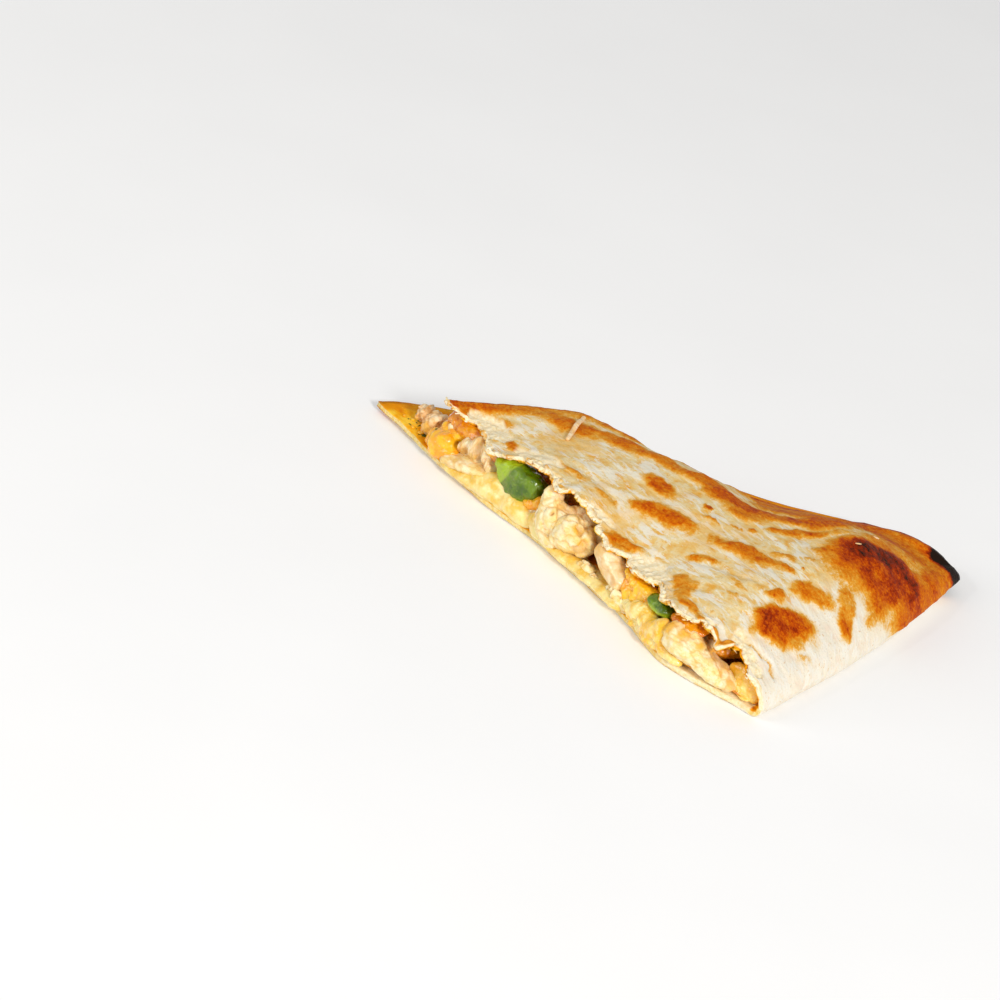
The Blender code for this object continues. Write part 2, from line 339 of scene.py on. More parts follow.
def add_modifier(obj, kind, **settings):
    """Add one modifier and apply it."""
    pick(obj)
    modifier = obj.modifiers.new(kind.lower(), kind)
    for key, value in settings.items():
        setattr(modifier, key, value)
    bpy.ops.object.modifier_apply(modifier=modifier.name)


def points_of(obj):
    """Vertex positions in mm."""
    values = np.empty(len(obj.data.vertices) * 3)
    obj.data.vertices.foreach_get("co", values)
    return values.reshape(-1, 3) / MM


def move_points(obj, points):
    """Give the vertices new positions, in mm."""
    obj.data.vertices.foreach_set("co", (points * MM).ravel())
    obj.data.update()


def normals_of(obj):
    """Vertex normals."""
    values = np.empty(len(obj.data.vertices) * 3)
    obj.data.vertex_normals.foreach_get("vector", values)
    return values.reshape(-1, 3)


def keep_values(obj, name, values):
    """Store one number a vertex for the material."""
    layer = obj.data.attributes.get(name) or obj.data.attributes.new(name, "FLOAT", "POINT")
    layer.data.foreach_set("value", np.asarray(values, dtype=np.float32))


def read_values(obj, name):
    """Numbers stored on the vertices."""
    values = np.empty(len(obj.data.vertices), dtype=np.float32)
    obj.data.attributes[name].data.foreach_get("value", values)
    return values


def finish_piece(obj, name, material, nodes=()):
    """Name, material, smooth shading, and what the piece stands for."""
    obj.name = name
    obj.data.name = name
    obj.data.materials.clear()
    obj.data.materials.append(material)
    pick(obj)
    bpy.ops.object.shade_smooth()
    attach(obj, "root")
    if nodes:
        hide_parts(*nodes)
    return obj


# ---- materials -----------------------------------------------------------------------------------------


def add_node(tree, kind, inputs=None, **settings):
    """One shader node; inputs may be numbers, colours or sockets."""
    node = tree.nodes.new(kind)
    for key, value in settings.items():
        setattr(node, key, value)
    for key, value in (inputs or {}).items():
        socket = node.inputs[key]
        if isinstance(value, bpy.types.NodeSocket):
            tree.links.new(value, socket)
        else:
            socket.default_value = value
    return node


def mix(tree, factor, a, b, blend="MIX"):
    """Mix of two colours."""
    node = add_node(tree, "ShaderNodeMix", data_type="RGBA", blend_type=blend, clamp_factor=True)
    for index, value in ((0, factor), (6, a), (7, b)):
        if isinstance(value, bpy.types.NodeSocket):
            tree.links.new(value, node.inputs[index])
        elif index == 0:
            node.inputs[index].default_value = value
        else:
            node.inputs[index].default_value = (*value, 1.0)
    return node.outputs[2]


def calc(tree, operation, a, b=0.0, c=0.0, clamp=False):
    """One step of arithmetic."""
    node = add_node(tree, "ShaderNodeMath", {0: a, 1: b, 2: c}, operation=operation, use_clamp=clamp)
    return node.outputs[0]


def ramp(tree, factor, stops, easing="LINEAR"):
    """Colour ramp; stops are a place and a colour."""
    node = add_node(tree, "ShaderNodeValToRGB", {"Fac": factor})
    node.color_ramp.interpolation = easing
    elements = node.color_ramp.elements
    while len(elements) < len(stops):
        elements.new(0.5)
    for element, (place, colour) in zip(elements, stops):
        element.position = place
        element.color = (*colour, 1.0)
    return node.outputs[0]


def span(tree, value, low, high, to_low=0.0, to_high=1.0, kind="SMOOTHSTEP"):
    """Map a range of numbers onto another."""
    node = add_node(
        tree,
        "ShaderNodeMapRange",
        {"Value": value, "From Min": low, "From Max": high, "To Min": to_low, "To Max": to_high},
        interpolation_type=kind,
    )
    return node.outputs[0]


def speckle(tree, coords, size, detail=3.0, rough=0.55, stretch=None, turn=0.0, warp=0.0):
    """Noise with features of the given size in mm, stretched and turned if asked."""
    if stretch is not None:
        mapping = add_node(tree, "ShaderNodeMapping", {"Vector": coords, "Rotation": (0.0, 0.0, turn)})
        mapping.inputs["Scale"].default_value = stretch
        coords = mapping.outputs[0]
    inputs = {"Vector": coords, "Scale": 1.0 / (size * MM), "Detail": detail, "Roughness": rough}
    node = add_node(tree, "ShaderNodeTexNoise", inputs)
    node.inputs["Distortion"].default_value = warp
    return node.outputs["Fac"]


def new_finish(name, roughness, specular=0.5, flesh=0.0, depth=1.0, coat=0.0, ior=1.45):
    """Material with its shader; flesh is how far light passes under the surface, depth in mm."""
    material = bpy.data.materials.new(name)
    material.use_nodes = True
    tree = material.node_tree
    shader = tree.nodes["Principled BSDF"]
    shader.inputs["Roughness"].default_value = roughness
    shader.inputs["Specular IOR Level"].default_value = specular
    shader.inputs["Subsurface Weight"].default_value = flesh
    shader.inputs["Subsurface Scale"].default_value = depth * MM
    shader.inputs["Subsurface Radius"].default_value = (1.0, 0.7, 0.4)
    shader.inputs["Coat Weight"].default_value = coat
    shader.inputs["Coat Roughness"].default_value = 0.05
    shader.inputs["IOR"].default_value = ior
    coords = add_node(tree, "ShaderNodeTexCoord").outputs["Object"]
    return material, tree, shader, coords


def value_of(tree, name):
    """Number stored on the mesh."""
    return add_node(tree, "ShaderNodeAttribute", attribute_name=name).outputs["Fac"]


def add_bump(tree, shader, layers):
    """Relief from several heights; each layer is a height socket, its depth in mm and its strength."""
    normal = None
    for height, depth, strength in layers:
        inputs = {"Height": height, "Distance": depth * MM, "Strength": strength}
        if normal is not None:
            inputs["Normal"] = normal
        normal = add_node(tree, "ShaderNodeBump", inputs).outputs[0]
    tree.links.new(normal, shader.inputs["Normal"])


def tortilla_finish():
    """Flour tortilla: cream sheet with toasted spots, char, crumb at the torn edge and a cheesy inside."""
    material, tree, shader, coords = new_finish("toasted tortilla", 0.62, 0.05, 0.08, 1.0)
    toast = value_of(tree, "toast")
    inside = value_of(tree, "inside")
    crumb = value_of(tree, "crumb")
    oil = value_of(tree, "oil")
    bare = value_of(tree, "bare")
    broad = speckle(tree, coords, 14.0, 3.0)
    mottle = speckle(tree, coords, 3.2, 5.0, 0.6)
    fine = speckle(tree, coords, 0.8, 4.0, 0.65)
    grit = speckle(tree, coords, 0.35, 3.0, 0.6)
    streak = speckle(tree, coords, 1.5, 5.0, 0.65, (0.35, 1.7, 1.0), math.radians(20))
    flake = speckle(tree, coords, 3.4, 6.0, 0.7, (0.45, 1.5, 1.0), math.radians(20), 0.6)
    pale = ramp(
        tree,
        mottle,
        [(0.34, (0.78, 0.38, 0.05)), (0.46, (0.78, 0.54, 0.20)), (0.56, (0.78, 0.65, 0.38)), (0.70, (0.81, 0.50, 0.13))],
    )
    pale = mix(tree, span(tree, flake, 0.49, 0.55, 0.0, 0.85), pale, (0.82, 0.78, 0.66))
    pale = mix(tree, span(tree, streak, 0.52, 0.66, 0.0, 0.55), pale, (0.88, 0.70, 0.40))
    pale = mix(tree, span(tree, broad, 0.48, 0.66, 0.0, 0.5), pale, (0.79, 0.45, 0.10))
    pale = mix(tree, calc(tree, "MULTIPLY", bare, 0.75), pale, (0.84, 0.80, 0.71))
    freckle = calc(tree, "MULTIPLY", span(tree, fine, 0.60, 0.68), span(tree, mottle, 0.48, 0.62))
    pale = mix(tree, calc(tree, "MULTIPLY", freckle, 0.75), pale, (0.66, 0.34, 0.07))
    # the browning breaks up into fine mottled edges
    noise = calc(tree, "MULTIPLY_ADD", mottle, 0.55, -0.275)
    noise = calc(tree, "MULTIPLY_ADD", fine, 0.42, calc(tree, "SUBTRACT", noise, 0.21))
    noise = calc(tree, "MULTIPLY_ADD", grit, 0.24, calc(tree, "SUBTRACT", noise, 0.12))
    noise = calc(tree, "MULTIPLY", noise, span(tree, toast, 0.0, 0.30, 0.25, 1.0))
    level = calc(tree, "ADD", calc(tree, "ADD", toast, noise), span(tree, broad, 0.48, 0.70, 0.0, 0.10))
    browned = ramp(
        tree,
        level,
        [
            (0.0, (0.82, 0.64, 0.34)),
            (0.20, (0.80, 0.54, 0.20)),
            (0.38, (0.73, 0.34, 0.035)),
            (0.54, (0.66, 0.19, 0.003)),
            (0.68, (0.53, 0.085, 0.001)),
            (0.80, (0.32, 0.026, 0.001)),
            (0.92, (0.14, 0.014, 0.001)),
            (1.0, (0.016, 0.008, 0.005)),
        ],
    )
    skin = mix(tree, span(tree, level, 0.03, 0.36), pale, browned)
    # inside of the sheet, stained by cheese and oil
    stain = ramp(
        tree,
        calc(tree, "ADD", calc(tree, "MULTIPLY", mottle, 0.6), calc(tree, "MULTIPLY", broad, 0.4)),
        [(0.36, (0.74, 0.20, 0.002)), (0.47, (0.93, 0.40, 0.005)), (0.60, (0.97, 0.60, 0.05))],
    )
    stain = mix(tree, span(tree, level, 0.25, 0.62, 0.0, 0.9), stain, (0.72, 0.23, 0.002))
    torn = ramp(tree, fine, [(0.3, (0.84, 0.62, 0.30)), (0.5, (0.91, 0.78, 0.52)), (0.7, (0.94, 0.87, 0.68))])
    greasy = ramp(tree, fine, [(0.3, (0.74, 0.46, 0.08)), (0.5, (0.84, 0.64, 0.24)), (0.7, (0.88, 0.76, 0.46))])
    skin = mix(tree, crumb, skin, torn)
    edge = mix(tree, oil, torn, greasy)
    baked = mix(tree, span(tree, level, 0.1, 0.55), (0.84, 0.64, 0.33), (0.58, 0.19, 0.01))
    edge = mix(tree, calc(tree, "MULTIPLY", value_of(tree, "rim"), 0.85), edge, baked)
    colour = mix(tree, span(tree, inside, 0.03, 0.25), skin, edge)
    colour = mix(tree, span(tree, inside, 0.72, 0.95), colour, stain)
    tree.links.new(colour, shader.inputs["Base Color"])
    tree.links.new(span(tree, level, 0.5, 1.0, 0.56, 0.40), shader.inputs["Roughness"])
    add_bump(tree, shader, [(flake, 0.5, 0.45), (streak, 0.25, 0.35), (mottle, 0.5, 0.4), (fine, 0.2, 0.6)])
    return material


def chicken_finish(name, pale, deep, amber):
    """Cooked chicken: creamy fibrous flesh, painted amber shade in its hollows, and amber where oil soaked in."""
    material, tree, shader, coords = new_finish(name, 0.42, 0.4, 0.08, 0.8)
    hollow_shade = value_of(tree, "hollow_shade")
    stain = value_of(tree, "stain")
    mottle = speckle(tree, coords, 2.0, 4.0, 0.6)
    fibre = speckle(tree, coords, 0.5, 4.0, 0.65, (0.3, 1.0, 1.0), math.radians(25))
    colour = mix(tree, span(tree, mottle, 0.38, 0.62), pale, deep)
    colour = mix(tree, span(tree, fibre, 0.50, 0.70, 0.0, 0.45), colour, amber)
    # painted shade: amber darkening in the cracks and sunken facets
    colour = mix(tree, calc(tree, "MULTIPLY", hollow_shade, 0.55), colour, amber)
    soaked = calc(tree, "ADD", stain, calc(tree, "MULTIPLY_ADD", fibre, 0.5, -0.25))
    colour = mix(tree, span(tree, soaked, 0.20, 0.85, 0.0, 0.9), colour, (0.90, 0.46, 0.03))
    tree.links.new(colour, shader.inputs["Base Color"])
    add_bump(tree, shader, [(mottle, 0.4, 0.3), (fibre, 0.25, 0.7)])
    return material


def cheese_finish(name, pale, deep, roughness=0.24, flesh=0.25):
    """Melted cheese: glossy, a little see-through, with oil-stained patches."""
    material, tree, shader, coords = new_finish(name, roughness, 0.5, flesh, 1.5, 0.7)
    broad = speckle(tree, coords, 3.6, 4.0, 0.6)
    fine = speckle(tree, coords, 0.8, 4.0, 0.6)
    colour = mix(tree, span(tree, broad, 0.38, 0.62), pale, deep)
    colour = mix(tree, span(tree, fine, 0.55, 0.75, 0.0, 0.35), colour, (0.94, 0.82, 0.50))
    tree.links.new(colour, shader.inputs["Base Color"])
    add_bump(tree, shader, [(broad, 0.6, 0.5), (fine, 0.25, 0.5)])
    return material


def pepper_finish():
    """Green pepper: glossy skin, brighter wet flesh."""
    material, tree, shader, coords = new_finish("green pepper", 0.16, 0.4, 0.15, 0.8, 0.5)
    broad = speckle(tree, coords, 4.0, 3.0)
    fine = speckle(tree, coords, 0.9, 4.0, 0.6)
    flesh = value_of(tree, "flesh")
    colour = mix(tree, span(tree, broad, 0.38, 0.62), (0.055, 0.12, 0.001), (0.14, 0.24, 0.003))
    colour = mix(tree, span(tree, fine, 0.52, 0.72, 0.0, 0.5), colour, (0.24, 0.34, 0.01))
    colour = mix(tree, flesh, colour, (0.34, 0.48, 0.012))
    tree.links.new(colour, shader.inputs["Base Color"])
    add_bump(tree, shader, [(broad, 0.6, 0.4), (fine, 0.35, 0.8)])
    return material


def onion_finish():
    """Soft cooked onion: pinkish white, see-through, ribbed along its layers."""
    material, tree, shader, coords = new_finish("cooked onion", 0.12, 0.5, 0.4, 2.0, 0.8)
    hollow_shade = value_of(tree, "hollow_shade")
    broad = speckle(tree, coords, 4.0, 3.0)
    fine = speckle(tree, coords, 0.6, 3.0)
    colour = mix(tree, span(tree, broad, 0.35, 0.65), (0.92, 0.78, 0.50), (0.80, 0.50, 0.16))
    colour = mix(tree, span(tree, fine, 0.45, 0.7, 0.0, 0.25), colour, (0.80, 0.48, 0.14))
    # painted shade: darker amber in the cracks and sunken facets
    colour = mix(tree, calc(tree, "MULTIPLY", hollow_shade, 0.5), colour, (0.66, 0.32, 0.06))
    tree.links.new(colour, shader.inputs["Base Color"])
    add_bump(tree, shader, [(broad, 0.5, 0.3), (fine, 0.12, 0.4)])
    return material


# ---- the tortilla ----------------------------------------------------------------------------------------


def spot_field(x, y, spots, seed):
    """Darkness of the toasted spots at plan points."""
    flat = np.stack([x, y, 0.0 * x], axis=-1)
    wx = x + 1.5 * grain(flat, 7.0, seed, 3) + 0.5 * grain(flat, 1.8, seed + 3, 2)
    wy = y + 1.5 * grain(flat, 7.0, seed + 7, 3) + 0.5 * grain(flat, 1.8, seed + 5, 2)
    field = np.zeros_like(x)
    for cx, cy, half_long, half_wide, turn, dark in spots:
        c = math.cos(math.radians(turn))
        d = math.sin(math.radians(turn))
        u = ((wx - cx) * c + (wy - cy) * d) / half_long
        v = (-(wx - cx) * d + (wy - cy) * c) / half_wide
        shade = dark * (1.0 - smooth((np.sqrt(u * u + v * v) - 0.45) / 0.75))
        field = np.maximum(field, shade) + 0.15 * np.minimum(field, shade)
    return field


def line_field(x, y, corners, width):
    """How close plan points are to a broken line, from 1 on it to 0."""
    flat = np.stack([x, y, 0.0 * x], axis=-1)
    wx = x + 0.5 * grain(flat, 1.6, 71, 2)
    wy = y + 0.5 * grain(flat, 1.6, 72, 2)
    nearest = np.full_like(x, 1000.0)
    for (ax, ay), (bx, by) in zip(corners, corners[1:]):
        length = math.hypot(bx - ax, by - ay)
        cx = (bx - ax) / length
        cy = (by - ay) / length
        run = np.clip((wx - ax) * cx + (wy - ay) * cy, 0.0, length)
        nearest = np.minimum(nearest, np.hypot(wx - ax - run * cx, wy - ay - run * cy))
    return 1.0 - smooth(nearest / width)


def scattered_spots(count, seed):
    """Spots strewn over the underside, which lay in the same pan."""
    random = np.random.RandomState(seed)
    spots = []
    for _ in range(count):
        spots.append(
            (
                random.uniform(-62, 64),
                random.uniform(-40, 44),
                random.uniform(3.0, 10.0),
                random.uniform(1.8, 4.5),
                random.uniform(-20, 70),
                random.uniform(0.40, 0.72),
            )
        )
    return spots


def torn_edge(q):
    """How far the torn upper edge stands out, and hangs down, at distance q from the fold."""
    line = np.stack([q, 0.0 * q, 0.0 * q], axis=-1)
    ragged = smooth(0.6 + 1.2 * grain(line, 9.0, 15, 1))
    rag = 0.8 * grain(line, 7.0, 11, 3) + 0.5 * grain(line, 2.6, 12, 3) + 0.34 * ragged * grain(line, 1.1, 13, 3)
    hang = 0.0 * q
    for place, width, out, down in TABS:
        rag = rag + out * bell(q, place, width)
        hang = hang + down * bell(q, place, width)
    random = np.random.RandomState(19)
    for _ in range(46):
        place = random.uniform(4.0, 112.0)
        out = random.uniform(-1.0, 0.6)
        rag = rag + out * bell(q, place, random.uniform(0.35, 0.9))
    return np.clip(rag, -2.4, 2.4), hang


def make_tortilla():
    """One sheet folded over: a fine grid laid into the wedge, toasted, blistered and given its thickness."""
    deselect()
    bpy.ops.mesh.primitive_grid_add(x_subdivisions=ACROSS, y_subdivisions=ALONG, size=2.0)
    obj = bpy.context.object
    bpy.ops.object.mode_set(mode="EDIT")
    bpy.ops.mesh.select_mode(type="FACE")
    bpy.ops.mesh.select_all(action="DESELECT")
    sheet = bmesh.from_edit_mesh(obj.data)
    for face in sheet.faces:
        middle = face.calc_center_median()
        face.select = middle.x < 2.0 * FINE_ROWS / ACROSS - 1.0 and middle.y > 2.0 * LOWER_SHARE - 1.0
    bmesh.update_edit_mesh(obj.data)
    bpy.ops.mesh.subdivide(number_cuts=2)
    bpy.ops.object.mode_set(mode="OBJECT")
    grid = points_of(obj) * MM
    t = 0.5 * (grid[:, 0] + 1.0)
    v = 0.5 * (grid[:, 1] + 1.0)
    s = LAST_SECTION * (0.50 * t + 0.50 * t * t)
    lower_end = LOWER_SHARE
    bottom = v < lower_end
    turn_1 = (v >= lower_end) & (v < lower_end + TURN_SHARE)
    turn_2 = (v >= lower_end + TURN_SHARE) & (v < lower_end + 2.0 * TURN_SHARE)
    top = v >= lower_end + 2.0 * TURN_SHARE
    length_low = section_run(s, False)[4]
    length_top = section_run(s, True)[4]
    top_share = (v - lower_end - 2.0 * TURN_SHARE) / (1.0 - lower_end - 2.0 * TURN_SHARE)
    angle = 0.5 * np.pi * (v - lower_end) / TURN_SHARE
    half = np.minimum(FOLD_HALF, 0.3 * length_top)
    q = np.where(bottom, half + (length_low - half) * (1.0 - v / lower_end), 0.0)
    q = np.where(turn_1, half * (1.0 - np.sin(angle)), q)
    q = np.where(turn_2, half * (1.0 - np.cos(angle - 0.5 * np.pi)), q)
    q = np.where(top, half + (length_top - half) * np.clip(top_share, 0.0, 1.0) ** 1.08, q)
    low_z = np.where(turn_1, FOLD_HALF * (1.0 - np.cos(angle)), rim_lift(s, q / length_low))
    upper = turn_2 | top
    # the torn upper edge and the knife-cut lower edge
    line = np.stack([q, 0.0 * q, 0.0 * q], axis=-1)
    rag, hang = torn_edge(q)
    rag_low = 0.25 * grain(line, 5.0, 21, 2)
    near = np.clip(1.0 - s / 0.045, 0.0, 1.0)
    near_top = rag * near * smooth(q / 6.0)
    z = np.where(upper, top_height(s, q) - hang * near, low_z)
    place_top = frame_point(s, True, q, z, near_top)
    place_low = frame_point(s, False, q, z, rag_low * near)
    points = np.where(upper[:, None], place_top, place_low)
    dip = DENT * bell(points[:, 0], 15.0, 9.0) * bell(points[:, 1], 6.0, 9.0)
    points[:, 2] -= np.where(top, dip, 0.0)
    # the burnt end closes in a blunt round tip
    end_middle = points[s > LAST_SECTION - 0.001].mean(axis=0)
    closing = np.sqrt(1.0 - np.clip((s - ROUND_END) / (LAST_SECTION - ROUND_END), 0.0, 0.9) ** 2)
    points[:, 2] = end_middle[2] + (points[:, 2] - end_middle[2]) * closing
    move_points(obj, points)
    # which way is out
    outward = normals_of(obj)
    high = np.argmax(points[:, 2])
    if outward[high, 2] < 0.0:
        pick(obj)
        bpy.ops.object.mode_set(mode="EDIT")
        bpy.ops.mesh.select_all(action="SELECT")
        bpy.ops.mesh.flip_normals()
        bpy.ops.object.mode_set(mode="OBJECT")
        outward = normals_of(obj)
    x = points[:, 0]
    y = points[:, 1]
    # browning
    top_field = spot_field(x, y, TOP_SPOTS, 5)
    low_field = spot_field(x, y, scattered_spots(26, 4), 9)
    rim_gap = np.where(upper, length_top - q, length_low - q)
    flat = np.stack([x, y, 0.0 * x], axis=-1)
    rim_width = 4.5 + 5.0 * smooth((s - 0.24) / 0.2) + 3.0 * smooth((s - 0.55) / 0.2) + 1.6 * grain(flat, 12.0, 31, 2)
    rim_dark = np.interp(s / LAST_SECTION, [0.0, 0.06, 0.2, 0.4, 0.5, 0.93, 1.0], [0.66, 0.60, 0.46, 0.50, 0.58, 0.56, 0.7])
    rim_field = rim_dark * (1.0 - smooth((rim_gap / rim_width - 0.5) / 1.0))
    rim_field = np.maximum(rim_field, 0.78 * (1.0 - smooth((rim_gap - 0.8) / 1.6)) * smooth((s - 0.25) / 0.2))
    char = 1.3 * (1.0 - smooth((np.hypot(x - 35.2, y - 48.4) - 5.6 - 1.4 * grain(flat, 3.0, 35, 3)) / 5.0))
    toast = np.where(upper, np.maximum(top_field, rim_field), np.maximum(low_field, 0.8 * rim_field))
    toast = np.maximum(toast, char)
    side = smooth((points[:, 2] - 5.5) / 3.0)
    side = np.maximum(side, smooth((s - 0.46) / 0.22))
    toast = np.where(upper & (q < 14.0), toast * (0.12 + 0.88 * side), toast)
    toast = np.where(turn_1 | (bottom & (q < 8.0)), toast * np.where(s > 0.85, 1.0, 0.1), toast)
    peeled = np.where(upper, smooth((spot_field(x, y, PEELED, 14) - 0.35) / 0.15), 0.0)
    cut_gap = np.where(upper, s * 88.0, 50.0)
    fray = 0.6 + 1.3 * grain(flat, 3.4, 33, 3)
    fray = fray - 1.2 * smooth(top_field / 0.4)
    peeled = np.maximum(peeled, 1.0 - smooth((cut_gap - fray) / 0.3))
    split = np.where(upper, line_field(x, y, CRACK, 0.7), 0.0)
    fold_line = np.max([line_field(x, y, corners, 1.3) for corners in CREASES], axis=0) * upper
    bare = np.where(top, 1.0 - smooth((q - 7.0) / 9.0), 1.0) * (1.0 - smooth((s - 0.8) / 0.15))
    bare = np.where(bottom, 1.0 - smooth((q - 4.0) / 6.0), bare)
    brim = 4.0 * peeled * (1.0 - peeled) * smooth(0.5 + 1.5 * grain(flat, 3.0, 34, 2))
    toast = np.maximum(toast * (1.0 - 0.6 * peeled), 0.36 * brim * upper)
    # relief: broad waves, raised blisters, thick rim, small wrinkles
    wave = 0.5 * grain(flat, 19.0, 41, 2) + 0.26 * grain(flat, 6.0, 42, 3)
    blister = 0.45 * smooth((toast - 0.2) / 0.4) * smooth(rim_gap / 4.0) + 0.16 * grain(flat, 2.2, 44, 3) * smooth(toast / 0.5)
    lip = 0.25 * bell(rim_gap, 2.6, 2.0) * smooth((s - 0.3) / 0.15)
    fibres = np.stack([1.5 * x - 0.3 * y, 0.4 * y, 0.0 * x], axis=-1)
    streak = np.stack([0.35 * x + 0.1 * y, 1.3 * y - 0.3 * x, 0.0 * x], axis=-1)
    wrinkle = 0.14 * grain(streak, 1.8, 43, 3)
    wrinkle = wrinkle - 0.8 * split - 0.38 * fold_line - 0.5 * peeled * smooth(cut_gap / 0.8) + 0.30 * peeled * grain(fibres, 1.3, 45, 3)
    relief = wave * smooth(rim_gap / 8.0) * smooth(q / 8.0) + blister + lip + wrinkle
    relief = np.where(upper, relief, -0.3 * np.abs(wave) - 0.5 * np.abs(wrinkle))
    points = points + outward * relief[:, None]
    points[:, 2] = np.maximum(points[:, 2], 0.0)
    move_points(obj, points)
    count = len(points)
    add_modifier(obj, "SOLIDIFY", thickness=SHEET * MM, offset=-1.0, use_even_offset=False)
    cut_near = 1.0 - smooth((s * FOLD_LENGTH - 2.5) / 2.0)
    corner_near = smooth((x - 38.0) / 8.0) * cut_near * bottom
    inside = np.concatenate([np.zeros(count), 1.0 - 0.5 * corner_near])
    # the torn edge is thin, and its two skins end at different places
    points = points_of(obj)
    outer = points[:count]
    inner = points[count:]
    thin = np.where(upper, 0.42, 0.25) * (1.0 - smooth(s * FOLD_LENGTH / 3.0))
    inner = inner + (outer - inner) * thin[:, None]
    thin = np.maximum(thin, 0.9 * smooth((s - 0.82) / 0.10))
    fringe = 0.55 * grain(line, 3.4, 61, 3) + 0.34 * grain(line, 1.0, 62, 3)
    inner[:, 1] += np.where(upper, fringe, 0.3 * fringe) * near * smooth(q / 6.0)
    points[count:] = inner
    move_points(obj, points)
    oil = np.where(upper, 0.0, 1.0 - smooth((s * FOLD_LENGTH - 1.0) / 1.5)) * (1.0 - 0.75 * corner_near)
    keep_values(obj, "oil", np.concatenate([oil, oil]))
    rim = smooth((s * FOLD_LENGTH - 1.5) / 2.0)
    keep_values(obj, "rim", np.concatenate([rim, rim]))
    keep_values(obj, "inside", inside)
    toast = np.maximum(toast, 0.36 * split)
    keep_values(obj, "toast", np.concatenate([toast, toast]))
    keep_values(obj, "bare", np.concatenate([bare, bare]))
    crumb = np.concatenate([peeled, 0.0 * peeled])
    keep_values(obj, "crumb", crumb)
    # faces across the thickness, for a crumbly edge
    pick(obj)
    bpy.ops.object.mode_set(mode="EDIT")
    bpy.ops.mesh.select_mode(type="EDGE")
    bpy.ops.mesh.select_all(action="DESELECT")
    shell = bmesh.from_edit_mesh(obj.data)
    layer = shell.verts.layers.float["inside"]
    for edge in shell.edges:
        edge.select = edge.verts[0][layer] != edge.verts[1][layer]
    bmesh.update_edit_mesh(obj.data)
    bpy.ops.mesh.subdivide(number_cuts=3)
    bpy.ops.object.mode_set(mode="OBJECT")
    inside = read_values(obj, "inside")
    points = points_of(obj)
    outward = normals_of(obj)
    rough = 0.26 * grain(points, 0.7, 51, 3)
    rough = np.where((inside > 0.01) & (inside < 0.99), rough, 0.0)
    move_points(obj, points + outward * rough[:, None])
    return finish_piece(obj, "folded_tortilla", tortilla_finish(), ["tortilla"])


# ---- fillings ----------------------------------------------------------------------------------------------


def filled_in(lumps, between):
    """The balls with more of them between each one and the next where the two are close."""
    lumps = [np.array(lump, dtype=float) for lump in lumps]
    dense = []
    for first, second in zip(lumps, lumps[1:]):
        dense.append(first)
        reach = 1.3 * (max(first[3:6]) + max(second[3:6]))
        if np.linalg.norm(first[:3] - second[:3]) < reach:
            for step in range(1, between + 1):
                share = step / (between + 1)
                dense.append(first * (1.0 - share) + second * share)
    dense.append(lumps[-1])
    return dense


def grow_together(lumps, voxel, rounds=3, between=2):
    """Overlapping balls grown into one soft lump. A ball is its middle, half sizes and turn."""
    balls = []
    for lump in filled_in(lumps, between):
        deselect()
        bpy.ops.mesh.primitive_ico_sphere_add(subdivisions=3, radius=1.0)
        ball = bpy.context.object
        ball.scale = Vector(lump[3:6]) * MM
        ball.rotation_euler = [math.radians(value) for value in lump[6:9]]
        ball.location = Vector(lump[:3]) * MM
        apply_place(ball)
        balls.append(ball)
    deselect()
    for ball in balls:
        ball.select_set(True)
    bpy.context.view_layer.objects.active = balls[0]
    if len(balls) > 1:
        bpy.ops.object.join()
    obj = bpy.context.view_layer.objects.active
    add_modifier(obj, "REMESH", mode="VOXEL", voxel_size=voxel * MM)
    if rounds:
        add_modifier(obj, "SMOOTH", factor=0.5, iterations=rounds)
    return obj


def swell(obj, size, height, seed, stretch=(1.0, 1.0, 1.0), octaves=2):
    """Soft uneven swelling of the surface."""
    points = points_of(obj)
    value = grain(points * np.array(stretch), size, seed, octaves)
    move_points(obj, points + normals_of(obj) * (height * value)[:, None])


def tear(obj, size, lift, tilt, seed, stretch=(1.0, 1.0, 1.0), rounds=2):
    """Break the surface into tilted facets with steps between them, as torn meat, and store painted shade for the
    cracks and sunken facets.
    """
    points = points_of(obj)
    warped = points + 0.5 * np.stack([grain(points, 2.0, seed + k, 2) for k in range(3)], axis=-1)
    spread = warped * np.array(stretch) / size
    low = spread.min(axis=0) - 0.5
    high = spread.max(axis=0) + 0.5
    random = np.random.RandomState(seed)
    count = int(np.prod(high - low)) + 3
    seeds = low + random.rand(count, 3) * (high - low)
    ways = random.normal(size=(count, 3))
    levels = random.rand(count) - 0.5
    gaps = np.linalg.norm(spread[:, None, :] - seeds[None, :, :], axis=2)
    nearest = np.argsort(gaps, axis=1)[:, :2]
    own = nearest[:, 0]
    slope = np.einsum("ij,ij->i", spread - seeds[own], ways[own])
    margin = np.take_along_axis(gaps, nearest, axis=1)
    margin = margin[:, 1] - margin[:, 0]
    line = 1.0 - smooth(margin / 0.12)
    shift = lift * levels[own] + tilt * slope - 0.25 * lift * line
    # painted shade: cracks between facets and sunken facets are marked for a darker amber in the material
    keep_values(obj, "hollow_shade", np.clip(0.7 * line + smooth((-shift / lift - 0.1) / 0.6), 0.0, 1.0))
    keep_values(obj, "stain", np.zeros(len(points)))
    move_points(obj, points + normals_of(obj) * shift[:, None])
    if rounds:
        add_modifier(obj, "SMOOTH", factor=0.5, iterations=rounds)


def soak(obj, places):
    """Note where orange oil has soaked in; a place is its middle and reach."""
    points = points_of(obj)
    value = np.zeros(len(points))
    for x, y, z, reach in places:
        gap = np.linalg.norm(points - np.array((x, y, z)), axis=1)
        value = np.maximum(value, 1.0 - smooth(gap / reach))
    keep_values(obj, "stain", value)


